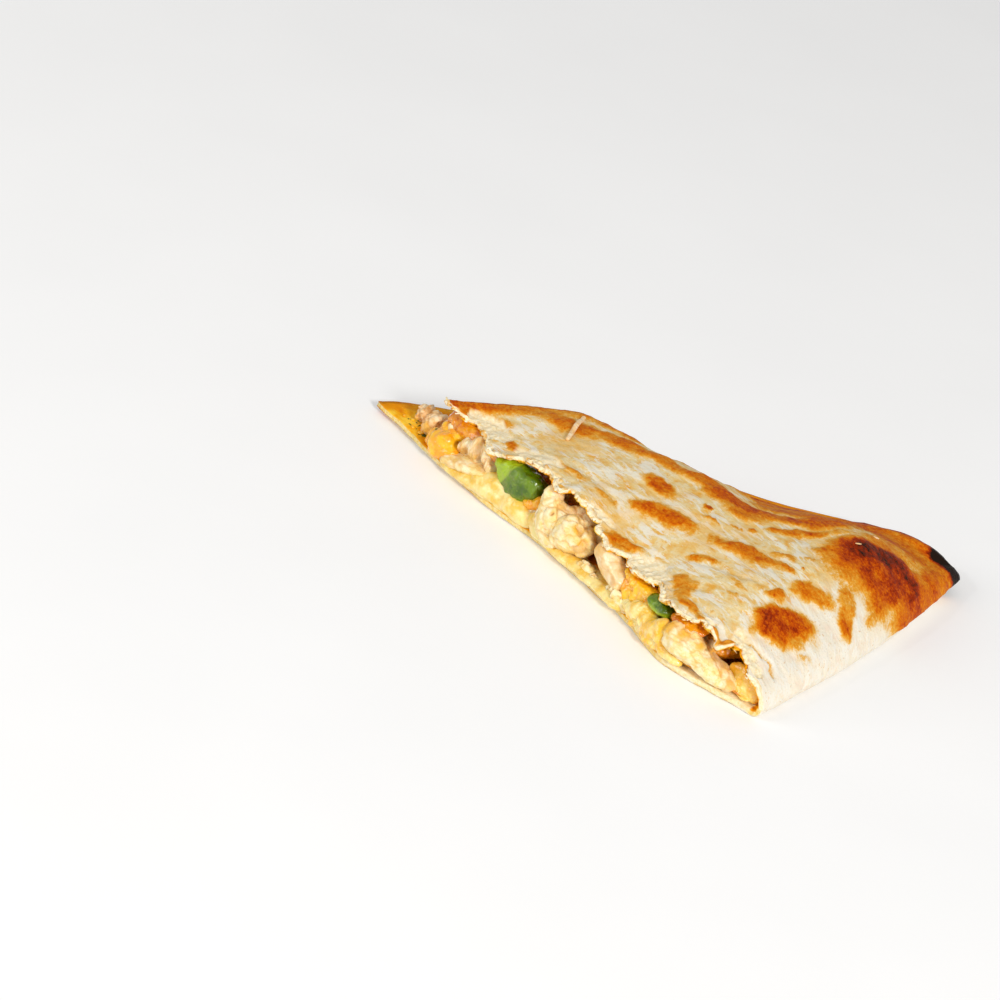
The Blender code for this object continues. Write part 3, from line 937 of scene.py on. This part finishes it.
def mouth_lumps(start, end, depth, low, high, step, size, seed):
    """Balls strewn along the mouth between two places on the cut, some way behind its edge."""
    random = np.random.RandomState(seed)
    lumps = []
    along = start
    while along < end:
        r = CORNER[0] - along
        behind = random.uniform(*depth)
        place = (along, CORNER[1] - bow(r) + behind, random.uniform(low, high))
        radii = [size * random.uniform(0.7, 1.35) for _ in range(3)]
        turn = [random.uniform(-40, 40) for _ in range(3)]
        lumps.append((*place, *radii, *turn))
        along += step * random.uniform(0.6, 1.4)
    return lumps


def make_chicken(cream, pink):
    """Pieces of cooked chicken."""
    chunk = grow_together(
        [
            (-7.2, -37.6, 11.0, 2.2, 2.4, 2.6, 0, 20, 0),
            (-3.4, -38.4, 6.8, 4.4, 3.5, 4.0, 0, 30, 0),
            (-2.0, -39.0, 4.2, 4.4, 3.0, 2.4, 0, 0, 0),
            (2.2, -38.8, 6.6, 4.6, 3.6, 4.2, 0, 10, 0),
            (5.4, -38.4, 6.8, 3.0, 3.0, 3.4, 0, 0, 0),
            (0.0, -35.0, 7.5, 6.0, 3.6, 4.0, 0, 0, 0),
        ],
        0.26,
        2,
        1,
    )
    tear(chunk, 3.8, 0.9, 0.42, 6, (1.0, 1.0, 1.0), 2)
    swell(chunk, 1.4, 0.16, 5, (1.0, 1.0, 1.0), 3)
    soak(chunk, [(8.0, -40.6, 8.0, 3.0), (5.4, -40.6, 10.6, 2.6), (-7.6, -39.0, 5.6, 2.2), (8.4, -40.0, 4.6, 2.4)])
    finish_piece(chunk, "chicken_chunk_piece", cream, ["chicken_chunk"])

    strip = grow_together(
        [
            (42.6, -42.6, 6.8, 3.3, 3.3, 3.4, 0, 10, 0),
            (45.6, -42.4, 6.4, 4.0, 3.5, 3.3, 0, 20, 8),
            (49.4, -41.6, 5.5, 4.2, 3.3, 3.0, 0, 22, 12),
            (53.0, -40.6, 4.4, 3.8, 3.0, 2.4, 0, 22, 14),
            (55.8, -39.6, 3.3, 2.4, 2.2, 1.6, 0, 20, 0),
        ],
        0.26,
        2,
    )
    swell(strip, 4.0, 0.5, 4)
    tear(strip, 2.4, 0.35, 0.10, 12, (0.22, 1.0, 1.0), 3)
    swell(strip, 1.6, 0.22, 9, (0.35, 1.0, 1.0), 2)
    swell(strip, 0.6, 0.10, 8, (1.0, 0.35, 0.35), 2)
    soak(strip, [(41.0, -45.0, 9.0, 3.4), (45.0, -44.5, 10.0, 3.2), (49.5, -43.0, 9.0, 2.6), (41.0, -45.0, 4.0, 2.2)])
    finish_piece(strip, "chicken_strip_piece", cream, ["chicken_strip"])

    lump = grow_together(
        [
            (-55.0, -34.6, 4.6, 1.2, 2.2, 2.2, 0, -20, 0),
            (-53.2, -34.8, 5.2, 1.2, 2.4, 2.6, 0, -12, 0),
            (-51.2, -35.0, 5.0, 1.4, 2.2, 2.4, 0, 10, 0),
            (-49.0, -35.2, 5.8, 1.3, 2.2, 2.0, 0, 24, 0),
            (-50.6, -36.0, 3.6, 2.6, 2.0, 1.4, 0, 0, 0),
        ],
        0.24,
        2,
        0,
    )
    swell(lump, 1.6, 0.35, 4)
    tear(lump, 2.4, 0.7, 0.2, 9, (1.2, 1.0, 0.6), 2)
    swell(lump, 0.7, 0.10, 5)
    soak(lump, [(-50.0, -37.0, 4.0, 3.0), (-54.0, -37.0, 3.6, 2.0)])
    finish_piece(lump, "chicken_lump_piece", pink, ["chicken_lump"])

    sliver = grow_together(
        [
            (-37.4, -39.0, 3.1, 3.6, 3.0, 1.6, 0, -16, 0),
            (-32.6, -39.2, 4.3, 4.4, 3.2, 1.8, 0, -14, 0),
            (-27.8, -38.8, 5.4, 3.4, 2.6, 1.3, 0, -14, 0),
        ],
        0.26,
        4,
    )
    swell(sliver, 3.0, 0.2, 7)
    tear(sliver, 3.4, 0.22, 0.05, 15, (0.3, 1.0, 1.4), 3)
    swell(sliver, 0.7, 0.05, 5, (0.4, 1.0, 1.0))
    finish_piece(sliver, "chicken_sliver_piece", cream, ["chicken_sliver"])

    crumbs = grow_together(
        [
            (8.6, -39.6, 3.2, 1.1, 1.2, 1.0, 0, 0, 0),
            (9.9, -39.9, 3.7, 1.2, 1.1, 1.1, 0, 0, 0),
            (11.2, -39.7, 3.2, 1.0, 1.2, 0.9, 0, 0, 0),
            (9.4, -40.0, 2.4, 1.3, 1.1, 0.8, 0, 0, 0),
            (11.6, -40.1, 2.3, 1.1, 1.0, 0.8, 0, 0, 0),
            (13.0, -40.3, 2.9, 1.2, 1.0, 0.9, 0, 0, 0),
            (21.0, -40.8, 3.8, 1.6, 1.3, 1.4, 0, 0, 0),
            (23.0, -41.1, 3.4, 1.5, 1.2, 1.2, 0, 0, 0),
            (19.0, -40.5, 3.2, 1.4, 1.2, 1.0, 0, 0, 0),
            (24.6, -41.3, 2.6, 1.4, 1.0, 0.9, 0, 0, 0),
            (16.6, -40.4, 2.5, 1.3, 1.0, 0.8, 0, 0, 0),
            (58.2, -38.0, 2.6, 0.9, 0.8, 0.7, 0, 0, 0),
            (59.3, -38.3, 2.9, 0.7, 0.7, 0.6, 0, 0, 0),
        ],
        0.22,
        1,
    )
    tear(crumbs, 1.6, 0.7, 0.2, 21, (1.0, 1.0, 1.0), 1)
    finish_piece(crumbs, "chicken_crumbs", cream)


def make_cheese(pale, yellow, golden, amber, orange):
    """Melted cheese between the pieces, and the cheddar."""
    blob = grow_together(
        [
            (-42.4, -38.8, 4.6, 3.4, 3.6, 3.0, 0, 0, 0),
            (-41.2, -39.4, 6.4, 2.4, 2.4, 1.8, 0, 0, 0),
            (-44.6, -38.8, 5.4, 1.8, 2.2, 1.6, 0, 0, 0),
            (-45.6, -38.2, 3.0, 2.2, 2.4, 1.5, 0, 0, 0),
            (-39.2, -38.8, 4.2, 2.2, 2.6, 1.8, 0, 0, 0),
            (-42.0, -40.0, 2.9, 2.4, 2.2, 1.4, 0, 0, 0),
            (-44.0, -36.4, 7.6, 2.2, 2.0, 1.2, 0, 0, 0),
            (-40.2, -36.8, 7.8, 2.2, 2.0, 1.2, 0, 0, 0),
        ],
        0.26,
        6,
    )
    swell(blob, 2.2, 0.3, 4, (1.0, 1.0, 1.0), 3)
    finish_piece(blob, "cheddar_blob_piece", orange, ["cheddar_blob"])

    chip = grow_together(
        [
            (23.6, -39.4, 4.9, 2.4, 2.2, 2.0, 0, 10, 0),
            (21.8, -38.6, 6.6, 2.0, 2.0, 1.6, 0, 0, 0),
            (25.8, -39.8, 5.6, 1.8, 1.8, 1.4, 0, 0, 0),
            (28.4, -39.8, 7.4, 2.6, 1.8, 1.3, 0, 10, 0),
            (22.4, -38.4, 8.6, 2.4, 2.0, 0.9, 0, 10, 0),
            (26.0, -38.8, 8.9, 2.6, 2.0, 0.8, 0, 4, 0),
            (30.6, -39.6, 8.9, 2.2, 2.0, 0.8, 0, 0, 0),
            (-12.4, -37.6, 6.2, 2.6, 2.0, 1.5, 0, -10, 0),
            (-14.6, -37.4, 5.4, 1.6, 1.6, 1.2, 0, 0, 0),
            (-10.4, -37.4, 7.4, 1.6, 1.8, 1.6, 0, 0, 0),
        ],
        0.26,
        3,
    )
    swell(chip, 1.6, 0.35, 9, (1.0, 1.0, 1.0), 3)
    finish_piece(chip, "cheddar_chip_piece", orange, ["cheddar_chip"])

    melt = grow_together(
        [
            (26.6, -40.6, 3.6, 3.0, 2.4, 2.0, 0, 0, 0),
            (29.6, -41.2, 4.3, 2.8, 2.4, 2.6, 0, 0, 0),
            (31.6, -41.0, 6.4, 2.2, 2.2, 1.5, 0, 20, 0),
            (33.2, -41.9, 3.8, 3.0, 2.4, 2.6, 0, 0, 0),
            (36.4, -42.8, 4.2, 2.6, 2.2, 2.8, 0, 0, 0),
            (38.2, -43.0, 6.2, 1.8, 2.0, 2.4, 0, 0, 0),
            (39.6, -43.6, 2.8, 3.0, 1.8, 1.6, 0, 0, 0),
            (43.6, -43.6, 2.4, 2.6, 1.6, 1.0, 0, 0, 0),
            (36.0, -43.2, 2.2, 3.4, 1.8, 1.2, 0, 0, 0),
            (31.0, -42.0, 2.2, 3.4, 1.6, 1.0, 0, 0, 0),
        ],
        0.26,
        3,
    )
    swell(melt, 2.6, 0.45, 5)
    swell(melt, 1.0, 0.16, 6, (1.0, 1.0, 1.0), 3)
    finish_piece(melt, "cheese_melt_piece", yellow, ["cheese_melt"])

    front = grow_together(
        [
            (-36.0, -39.0, 1.9, 4.6, 3.4, 1.4, 0, 0, 0),
            (-30.0, -39.0, 2.4, 4.6, 3.6, 2.0, 0, 0, 0),
            (-24.0, -38.6, 3.2, 4.6, 3.6, 2.9, 0, 0, 0),
            (-18.0, -38.0, 3.3, 4.6, 3.6, 3.0, 0, 0, 0),
            (-12.5, -37.8, 3.0, 3.6, 3.4, 2.8, 0, 0, 0),
            (-21.4, -38.2, 5.4, 4.2, 3.0, 2.3, 0, 0, 0),
            (-27.0, -38.6, 4.4, 3.4, 3.0, 2.0, 0, 0, 0),
            (-8.6, -37.8, 4.0, 2.6, 3.0, 2.4, 0, 0, 0),
            (-6.0, -37.8, 2.4, 4.0, 3.4, 1.6, 0, 0, 0),
            (0.0, -38.4, 2.2, 4.6, 3.2, 1.3, 0, 0, 0),
            (6.0, -38.8, 2.2, 4.4, 3.0, 1.3, 0, 0, 0),
            (12.0, -39.2, 2.3, 4.4, 3.0, 1.4, 0, 0, 0),
            (17.0, -39.8, 2.4, 4.4, 3.0, 1.4, 0, 0, 0),
            (22.0, -40.4, 2.3, 4.0, 3.0, 1.3, 0, 0, 0),
        ],
        0.3,
        14,
        4,
    )
    swell(front, 5.0, 0.3, 15)
    swell(front, 1.1, 0.12, 16, (1.0, 1.0, 0.6), 3)
    finish_piece(front, "cheese_edge", pale)

    # amber cheese by the open point; the two thin wide lumps at the right, tucked under the flap, are partly painted
    # shade under the flap
    drips = grow_together(
        [
            (40.6, -41.0, 9.6, 2.6, 2.2, 1.0, 20, -6, 0),
            (44.6, -40.4, 10.0, 3.2, 2.4, 0.8, 20, 8, 0),
            (-27.0, -36.4, 9.8, 2.4, 2.4, 1.6, 0, 0, 0),
            (-30.4, -35.8, 9.6, 2.8, 2.4, 1.4, 0, 0, 0),
            (-35.5, -36.2, 9.4, 2.6, 2.4, 2.0, 0, 0, 0),
            (-39.0, -35.4, 9.6, 3.0, 2.8, 2.2, 0, 0, 0),
            (-43.0, -34.8, 9.6, 2.6, 2.6, 2.0, 0, 0, 0),
        ],
        0.24,
        3,
    )
    swell(drips, 2.2, 0.3, 25, (0.5, 1.0, 1.0), 3)
    swell(drips, 0.8, 0.12, 26, (1.0, 1.0, 1.0), 2)
    finish_piece(drips, "amber_cheese_and_flap_shade", amber)

    wall = grow_together(
        [
            (55.4, -36.6, 4.6, 2.6, 1.4, 2.6, 0, 20, 0),
            (58.2, -36.8, 4.4, 2.8, 1.4, 2.8, 0, 24, 0),
            (61.0, -37.2, 3.4, 2.2, 1.2, 1.9, 0, 26, 0),
            (56.8, -38.4, 2.4, 2.2, 0.9, 0.5, 0, 8, 0),
            (59.8, -38.6, 2.2, 2.0, 0.8, 0.4, 0, 0, 0),
        ],
        0.2,
        3,
    )
    swell(wall, 2.0, 0.25, 35, (0.6, 1.0, 1.0), 3)
    swell(wall, 0.8, 0.10, 36, (1.0, 1.0, 1.0), 3)
    finish_piece(wall, "oily_corner", golden)


def make_pepper(finish):
    """Diced green pepper: a bent slab of wall with skin outside and wet flesh inside."""
    dice = grow_together(
        [
            (-23.2, -37.8, 10.2, 1.8, 2.4, 1.9, 0, 0, 0),
            (-21.4, -37.6, 8.9, 2.6, 3.0, 3.0, 0, 0, 0),
            (-18.2, -37.8, 7.6, 2.8, 3.0, 3.2, 0, 0, 0),
            (-15.2, -37.4, 8.2, 3.0, 3.0, 3.4, 0, 0, 0),
            (-13.2, -36.8, 9.2, 2.6, 2.8, 2.8, 0, 0, 0),
            (-17.0, -37.2, 10.4, 3.4, 3.0, 2.2, 0, 0, 0),
            (-20.4, -37.4, 10.4, 3.0, 2.8, 2.0, 0, 0, 0),
        ],
        0.26,
        2,
    )
    swell(dice, 3.6, 0.6, 4)
    swell(dice, 1.2, 0.24, 5, (1.0, 1.0, 1.0), 3)
    points = points_of(dice)
    edge = -19.6 + 0.55 * (points[:, 2] - 8.0)
    keep_values(dice, "flesh", smooth((edge - points[:, 0]) / 0.8 + 0.5 * grain(points, 3.0, 3, 2)))
    finish_piece(dice, "green_pepper_piece", finish, ["green_pepper"])
    bit = grow_together(
        [
            (33.2, -40.6, 8.8, 2.8, 2.6, 1.7, 0, 10, 0),
            (35.8, -41.0, 8.8, 2.2, 2.4, 1.5, 0, 10, 0),
        ],
        0.22,
        2,
    )
    swell(bit, 1.6, 0.3, 6)
    points = points_of(bit)
    keep_values(bit, "flesh", smooth((9.3 - points[:, 2]) / 1.0))
    finish_piece(bit, "pepper_bit_piece", finish, ["pepper_bit"])


def make_onion(finish):
    """Soft onion pieces, ribbed along their layers."""
    piece = grow_together(
        [
            (12.2, -37.8, 8.6, 2.0, 2.6, 2.6, 0, 20, 0),
            (14.6, -38.2, 7.9, 2.4, 2.9, 3.0, 0, 20, 0),
            (17.4, -38.7, 6.8, 2.6, 2.9, 3.0, 0, 25, 0),
            (20.0, -39.2, 5.8, 2.2, 2.8, 2.4, 0, 25, 0),
        ],
        0.26,
        6,
    )
    swell(piece, 3.0, 0.2, 8)
    tear(piece, 3.4, 0.12, 0.02, 31, (0.25, 1.0, 1.0), 5)
    finish_piece(piece, "onion_piece_piece", finish, ["onion_piece"])
    slice_ = grow_together(
        [
            (-35.6, -37.4, 7.6, 1.8, 2.8, 3.0, 0, 34, 0),
            (-32.2, -37.5, 8.7, 2.2, 3.0, 3.3, 0, 14, 0),
            (-28.9, -36.8, 8.8, 1.8, 2.8, 3.2, 0, -4, 10),
            (-26.6, -37.6, 7.2, 1.3, 2.4, 2.6, 0, -24, 0),
            (-33.0, -37.0, 5.8, 3.4, 2.6, 1.4, 0, -10, 0),
            (-8.6, -37.2, 5.4, 1.6, 2.6, 3.4, 0, 10, 0),
            (-11.0, -37.4, 4.2, 1.4, 2.4, 2.6, 0, -6, 0),
        ],
        0.24,
        2,
        0,
    )
    swell(slice_, 1.8, 0.25, 32, (1.6, 1.0, 0.5))
    tear(slice_, 2.2, 0.35, 0.12, 33, (1.4, 1.0, 0.35), 2)
    finish_piece(slice_, "onion_slice_piece", finish, ["onion_slice"])


def make_bed(cream, amber):
    """The mixed filling behind the pieces that show, and the two layers that run through the wedge."""
    bed = mouth_lumps(-44.0, 50.0, (6.0, 12.0), 4.0, 8.6, 1.6, 2.4, 3)
    bed += mouth_lumps(-36.0, -18.0, (12.0, 21.0), 3.4, 7.2, 0.9, 2.2, 8)
    bed = grow_together(bed, 0.4, 3)
    swell(bed, 2.0, 0.6, 3, (1.0, 1.0, 1.0), 3)
    finish_piece(bed, "filling_bed", amber)
    bits = grow_together(mouth_lumps(-42.0, 50.0, (4.0, 8.0), 4.0, 8.8, 3.6, 1.7, 7), 0.3, 1)
    swell(bits, 2.0, 0.5, 3)
    tear(bits, 2.0, 0.8, 0.25, 43)
    finish_piece(bits, "chicken_bits", cream)
    for node, material, slot, height in (
        ("melted_cheese", amber, "cheese", 0.25),
        ("chicken_filling", cream, "chicken", 0.6),
    ):
        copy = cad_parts[node].copy()
        copy.data = copy.data.copy()
        bpy.context.scene.collection.objects.link(copy)
        pick(copy)
        bpy.ops.object.mode_set(mode="EDIT")
        bpy.ops.mesh.select_all(action="SELECT")
        bpy.ops.mesh.remove_doubles(threshold=0.00001)
        bpy.ops.mesh.tris_convert_to_quads()
        bpy.ops.mesh.subdivide(number_cuts=3, smoothness=0.0)
        bpy.ops.object.mode_set(mode="OBJECT")
        swell(copy, 3.0, height, 5)
        tear(copy, 3.0, height, 0.3 * height, 45)
        finish_piece(copy, node + "_layer", material, [node])


def crumb_finish():
    """Torn tortilla crumb, toasted here and there."""
    material, tree, shader, coords = new_finish("torn crumb", 0.6, 0.2, 0.1, 1.0)
    broad = speckle(tree, coords, 4.0, 3.0)
    tone = ramp(tree, broad, [(0.40, (0.74, 0.36, 0.06)), (0.50, (0.88, 0.68, 0.34)), (0.60, (0.93, 0.84, 0.62))])
    tree.links.new(tone, shader.inputs["Base Color"])
    add_bump(tree, shader, [(speckle(tree, coords, 0.5, 4.0), 0.2, 0.6)])
    return material


def make_flakes():
    """Thin flakes and crumbs standing along the torn upper edge."""
    random = np.random.RandomState(29)
    flakes = []
    for _ in range(170):
        q = np.array([random.uniform(4.0, 111.0)])
        s = np.array([0.0])
        out, hang = torn_edge(q)
        z = top_height(s, q) - hang - random.uniform(0.0, 1.1)
        x, y, z = frame_point(s, True, q, z, out)[0]
        radii = (random.uniform(0.35, 1.1), random.uniform(0.2, 0.55), random.uniform(0.10, 0.18))
        turn = (random.uniform(-40, 40), random.uniform(-30, 30), random.uniform(-60, 60))
        flakes.append((x, y + random.uniform(-0.1, 0.4), z, *radii, *turn))
    obj = grow_together(flakes, 0.12, 1, 0)
    swell(obj, 0.5, 0.08, 3)
    finish_piece(obj, "edge_flakes", crumb_finish())


def surface_at(obj, x, y):
    """Highest point of an object over a plan point, in mm."""
    hit, place, _, _ = obj.ray_cast(Vector((x * MM, y * MM, 0.1)), Vector((0.0, 0.0, -1.0)))
    return place.z / MM if hit else 0.0


def herb_finish():
    """Dried herbs: dark olive green."""
    material, tree, shader, coords = new_finish("dried herb", 0.6, 0.3)
    fine = speckle(tree, coords, 0.4, 3.0)
    tree.links.new(mix(tree, fine, (0.02, 0.05, 0.006), (0.10, 0.13, 0.015)), shader.inputs["Base Color"])
    add_bump(tree, shader, [(fine, 0.1, 0.5)])
    return material


def make_herbs(sheet):
    """Flecks of dried herb on the open point of the lower layer and on the cheddar."""
    random = np.random.RandomState(17)
    blob = bpy.data.objects["cheddar_blob_piece"]
    flecks = []
    for turn in (-70, -48, -30, -12, 6, 25, 48):
        long = random.uniform(0.6, 1.0)
        way = math.radians(turn + 110)
        px = -49.4 + 0.9 * long * math.cos(way)
        py = -38.6 + 0.9 * long * math.sin(way)
        flecks.append((px, py, surface_at(sheet, px, py) + 0.10, long, 0.10, 0.10, 0, 8, turn + 110))
    for x, y, spread, count in (
        (-49.7, -38.0, 1.2, 3),
        (-44.2, -39.6, 0.5, 3),
        (-57.0, -37.4, 1.8, 5),
        (-53.6, -36.8, 2.2, 6),
        (-47.4, -36.4, 1.4, 3),
    ):
        for _ in range(count):
            px = x + random.normal() * spread * 0.6
            py = y + random.normal() * spread * 0.6
            top = max(surface_at(sheet, px, py), surface_at(blob, px, py))
            long = random.uniform(0.15, 0.6)
            turn = random.uniform(0.0, 180.0)
            if top > 0.5:
                flecks.append((px, py, top + 0.06, long, 0.13, 0.10, 0, random.uniform(-20, 20), turn))
    herbs = grow_together(flecks, 0.07, 0, 0)
    finish_piece(herbs, "dried_herbs", herb_finish())


def make_extras(pink, orange):
    """A shred of cheese on top, bits of cheese on the open point, and herbs."""
    sheet = bpy.data.objects["folded_tortilla"]
    shred = []
    for step in range(16):
        share = step / 15.0
        x = -27.0 + 6.8 * share
        y = -14.0 - 10.2 * share
        top = surface_at(sheet, x, y)
        wide = 0.62 - 0.12 * abs(2.0 * share - 1.0)
        shred.append((x, y, top + 0.30 + 0.25 * math.sin(3.0 * share), wide, wide, 0.42, 0, 0, 0))
    strand = grow_together(shred, 0.14, 3, 2)
    for x, y, turn in ((36.6, 11.2, 60), (33.3, 20.4, 20)):
        speck = grow_together([(x, y, surface_at(sheet, x, y) + 0.12, 0.8, 0.22, 0.16, 0, 0, turn)], 0.08, 1)
        strand.select_set(True)
        speck.select_set(True)
        bpy.context.view_layer.objects.active = strand
        bpy.ops.object.join()
    # no painted hollow shade on the shred and specks
    keep_values(strand, "hollow_shade", np.zeros(len(strand.data.vertices)))
    keep_values(strand, "stain", np.zeros(len(strand.data.vertices)))
    finish_piece(strand, "cheese_shred", pink)
    bits = []
    for x, y, size in (
        (-47.6, -36.6, 1.3), (-46.0, -35.2, 1.5), (-50.6, -38.2, 0.8), (-49.0, -35.6, 1.0),
        (-55.8, -36.6, 0.6), (-53.4, -38.4, 0.5), (-58.2, -37.2, 0.4), (-47.4, -39.0, 0.7),
    ):
        bits.append((x, y, surface_at(sheet, x, y) + 0.25 * size, size, 0.8 * size, 0.5 * size, 0, 0, 20.0 * x))
    crumbs = grow_together(bits, 0.14, 2, 0)
    swell(crumbs, 0.8, 0.15, 77)
    finish_piece(crumbs, "cheese_bits", orange)
    make_herbs(sheet)


def make_fillings():
    """Everything that shows in the mouth of the wedge."""
    cream = chicken_finish("creamy chicken", (0.95, 0.84, 0.54), (0.93, 0.70, 0.27), (0.76, 0.34, 0.015))
    pink = chicken_finish("pinkish chicken", (0.93, 0.76, 0.50), (0.88, 0.57, 0.26), (0.70, 0.28, 0.02))
    pale = cheese_finish("pale melted cheese", (0.91, 0.74, 0.29), (0.86, 0.54, 0.07))
    yellow = cheese_finish("yellow melted cheese", (0.94, 0.78, 0.32), (0.90, 0.50, 0.02), 0.08)
    golden = cheese_finish("golden cheese", (0.95, 0.68, 0.16), (0.87, 0.44, 0.02), 0.12)
    amber = cheese_finish("amber cheese", (0.84, 0.36, 0.006), (0.64, 0.17, 0.002), 0.12)
    orange = cheese_finish("orange cheddar", (0.98, 0.54, 0.012), (0.95, 0.36, 0.002), 0.10)
    make_chicken(cream, pink)
    make_cheese(pale, yellow, golden, amber, orange)
    make_pepper(pepper_finish())
    make_onion(onion_finish())
    make_bed(cream, amber)
    make_extras(pink, orange)
    make_flakes()


# ---- floor, light and camera -----------------------------------------------------------------------------


def make_stage():
    """Plain pale floor, soft light and the camera."""
    deselect()
    bpy.ops.mesh.primitive_plane_add(size=6.0, location=(0.0, 0.0, -0.0001))
    floor = bpy.context.object
    floor.name = "floor"
    material, tree, shader, coords = new_finish("pale floor", 0.6, 0.2)
    tone = ramp(tree, speckle(tree, coords, 60.0, 2.0), [(0.3, (0.90, 0.90, 0.90)), (0.7, (0.92, 0.92, 0.92))])
    tree.links.new(tone, shader.inputs["Base Color"])
    shader.inputs["Emission Color"].default_value = (1.0, 1.0, 1.0, 1.0)
    shader.inputs["Emission Strength"].default_value = 0.10
    floor.data.materials.append(material)

    world = bpy.data.worlds.new("studio")
    bpy.context.scene.world = world
    world.use_nodes = True
    background = world.node_tree.nodes["Background"]
    background.inputs["Color"].default_value = (1.0, 1.0, 1.0, 1.0)
    background.inputs["Strength"].default_value = 0.48

    aim = Vector((-0.0200, -0.0397, 0.0030))
    azimuth = math.radians(44.92)
    elevation = math.radians(27.05)
    roll = math.radians(14.67)
    back = Vector(
        (
            math.sin(azimuth) * math.cos(elevation),
            -math.cos(azimuth) * math.cos(elevation),
            math.sin(elevation),
        )
    )
    right = Vector((math.cos(azimuth), math.sin(azimuth), 0.0))
    up = back.cross(right)
    across = right * math.cos(roll) + up * math.sin(roll)
    rise = up * math.cos(roll) - right * math.sin(roll)
    turn = Matrix((across, rise, back)).transposed()
    camera_data = bpy.data.cameras.new("camera")
    camera_data.lens = 133.95
    camera_data.sensor_width = 36.0
    camera_data.clip_start = 0.01
    camera_data.clip_end = 20.0
    camera = bpy.data.objects.new("camera", camera_data)
    bpy.context.scene.collection.objects.link(camera)
    camera.matrix_world = Matrix.Translation(aim + back * 0.8) @ turn.to_4x4()
    bpy.context.scene.camera = camera

    def lamp(name, way, distance, size, energy, tint):
        """Area light that shines on the wedge."""
        data = bpy.data.lights.new(name, "AREA")
        data.shape = "DISK"
        data.size = size
        data.energy = energy
        data.color = tint
        light = bpy.data.objects.new(name, data)
        bpy.context.scene.collection.objects.link(light)
        way = Vector(way).normalized()
        light.location = way * distance
        light.rotation_euler = (-way).to_track_quat("-Z", "Y").to_euler()

    lamp("key light", (0.80, -0.30, 0.46), 1.8, 0.34, 20.6, (1.0, 0.98, 0.95))
    lamp("small light", (-0.1, -0.95, 0.65), 1.0, 0.04, 0.7, (1.0, 1.0, 1.0))
    lamp("fill light", (-0.40, -0.90, 0.42), 1.1, 0.6, 2.7, (1.0, 0.99, 0.96))
    view = bpy.context.scene.view_settings
    view.view_transform = "Standard"
    view.look = "None"


make_stage()
make_tortilla()
make_fillings()
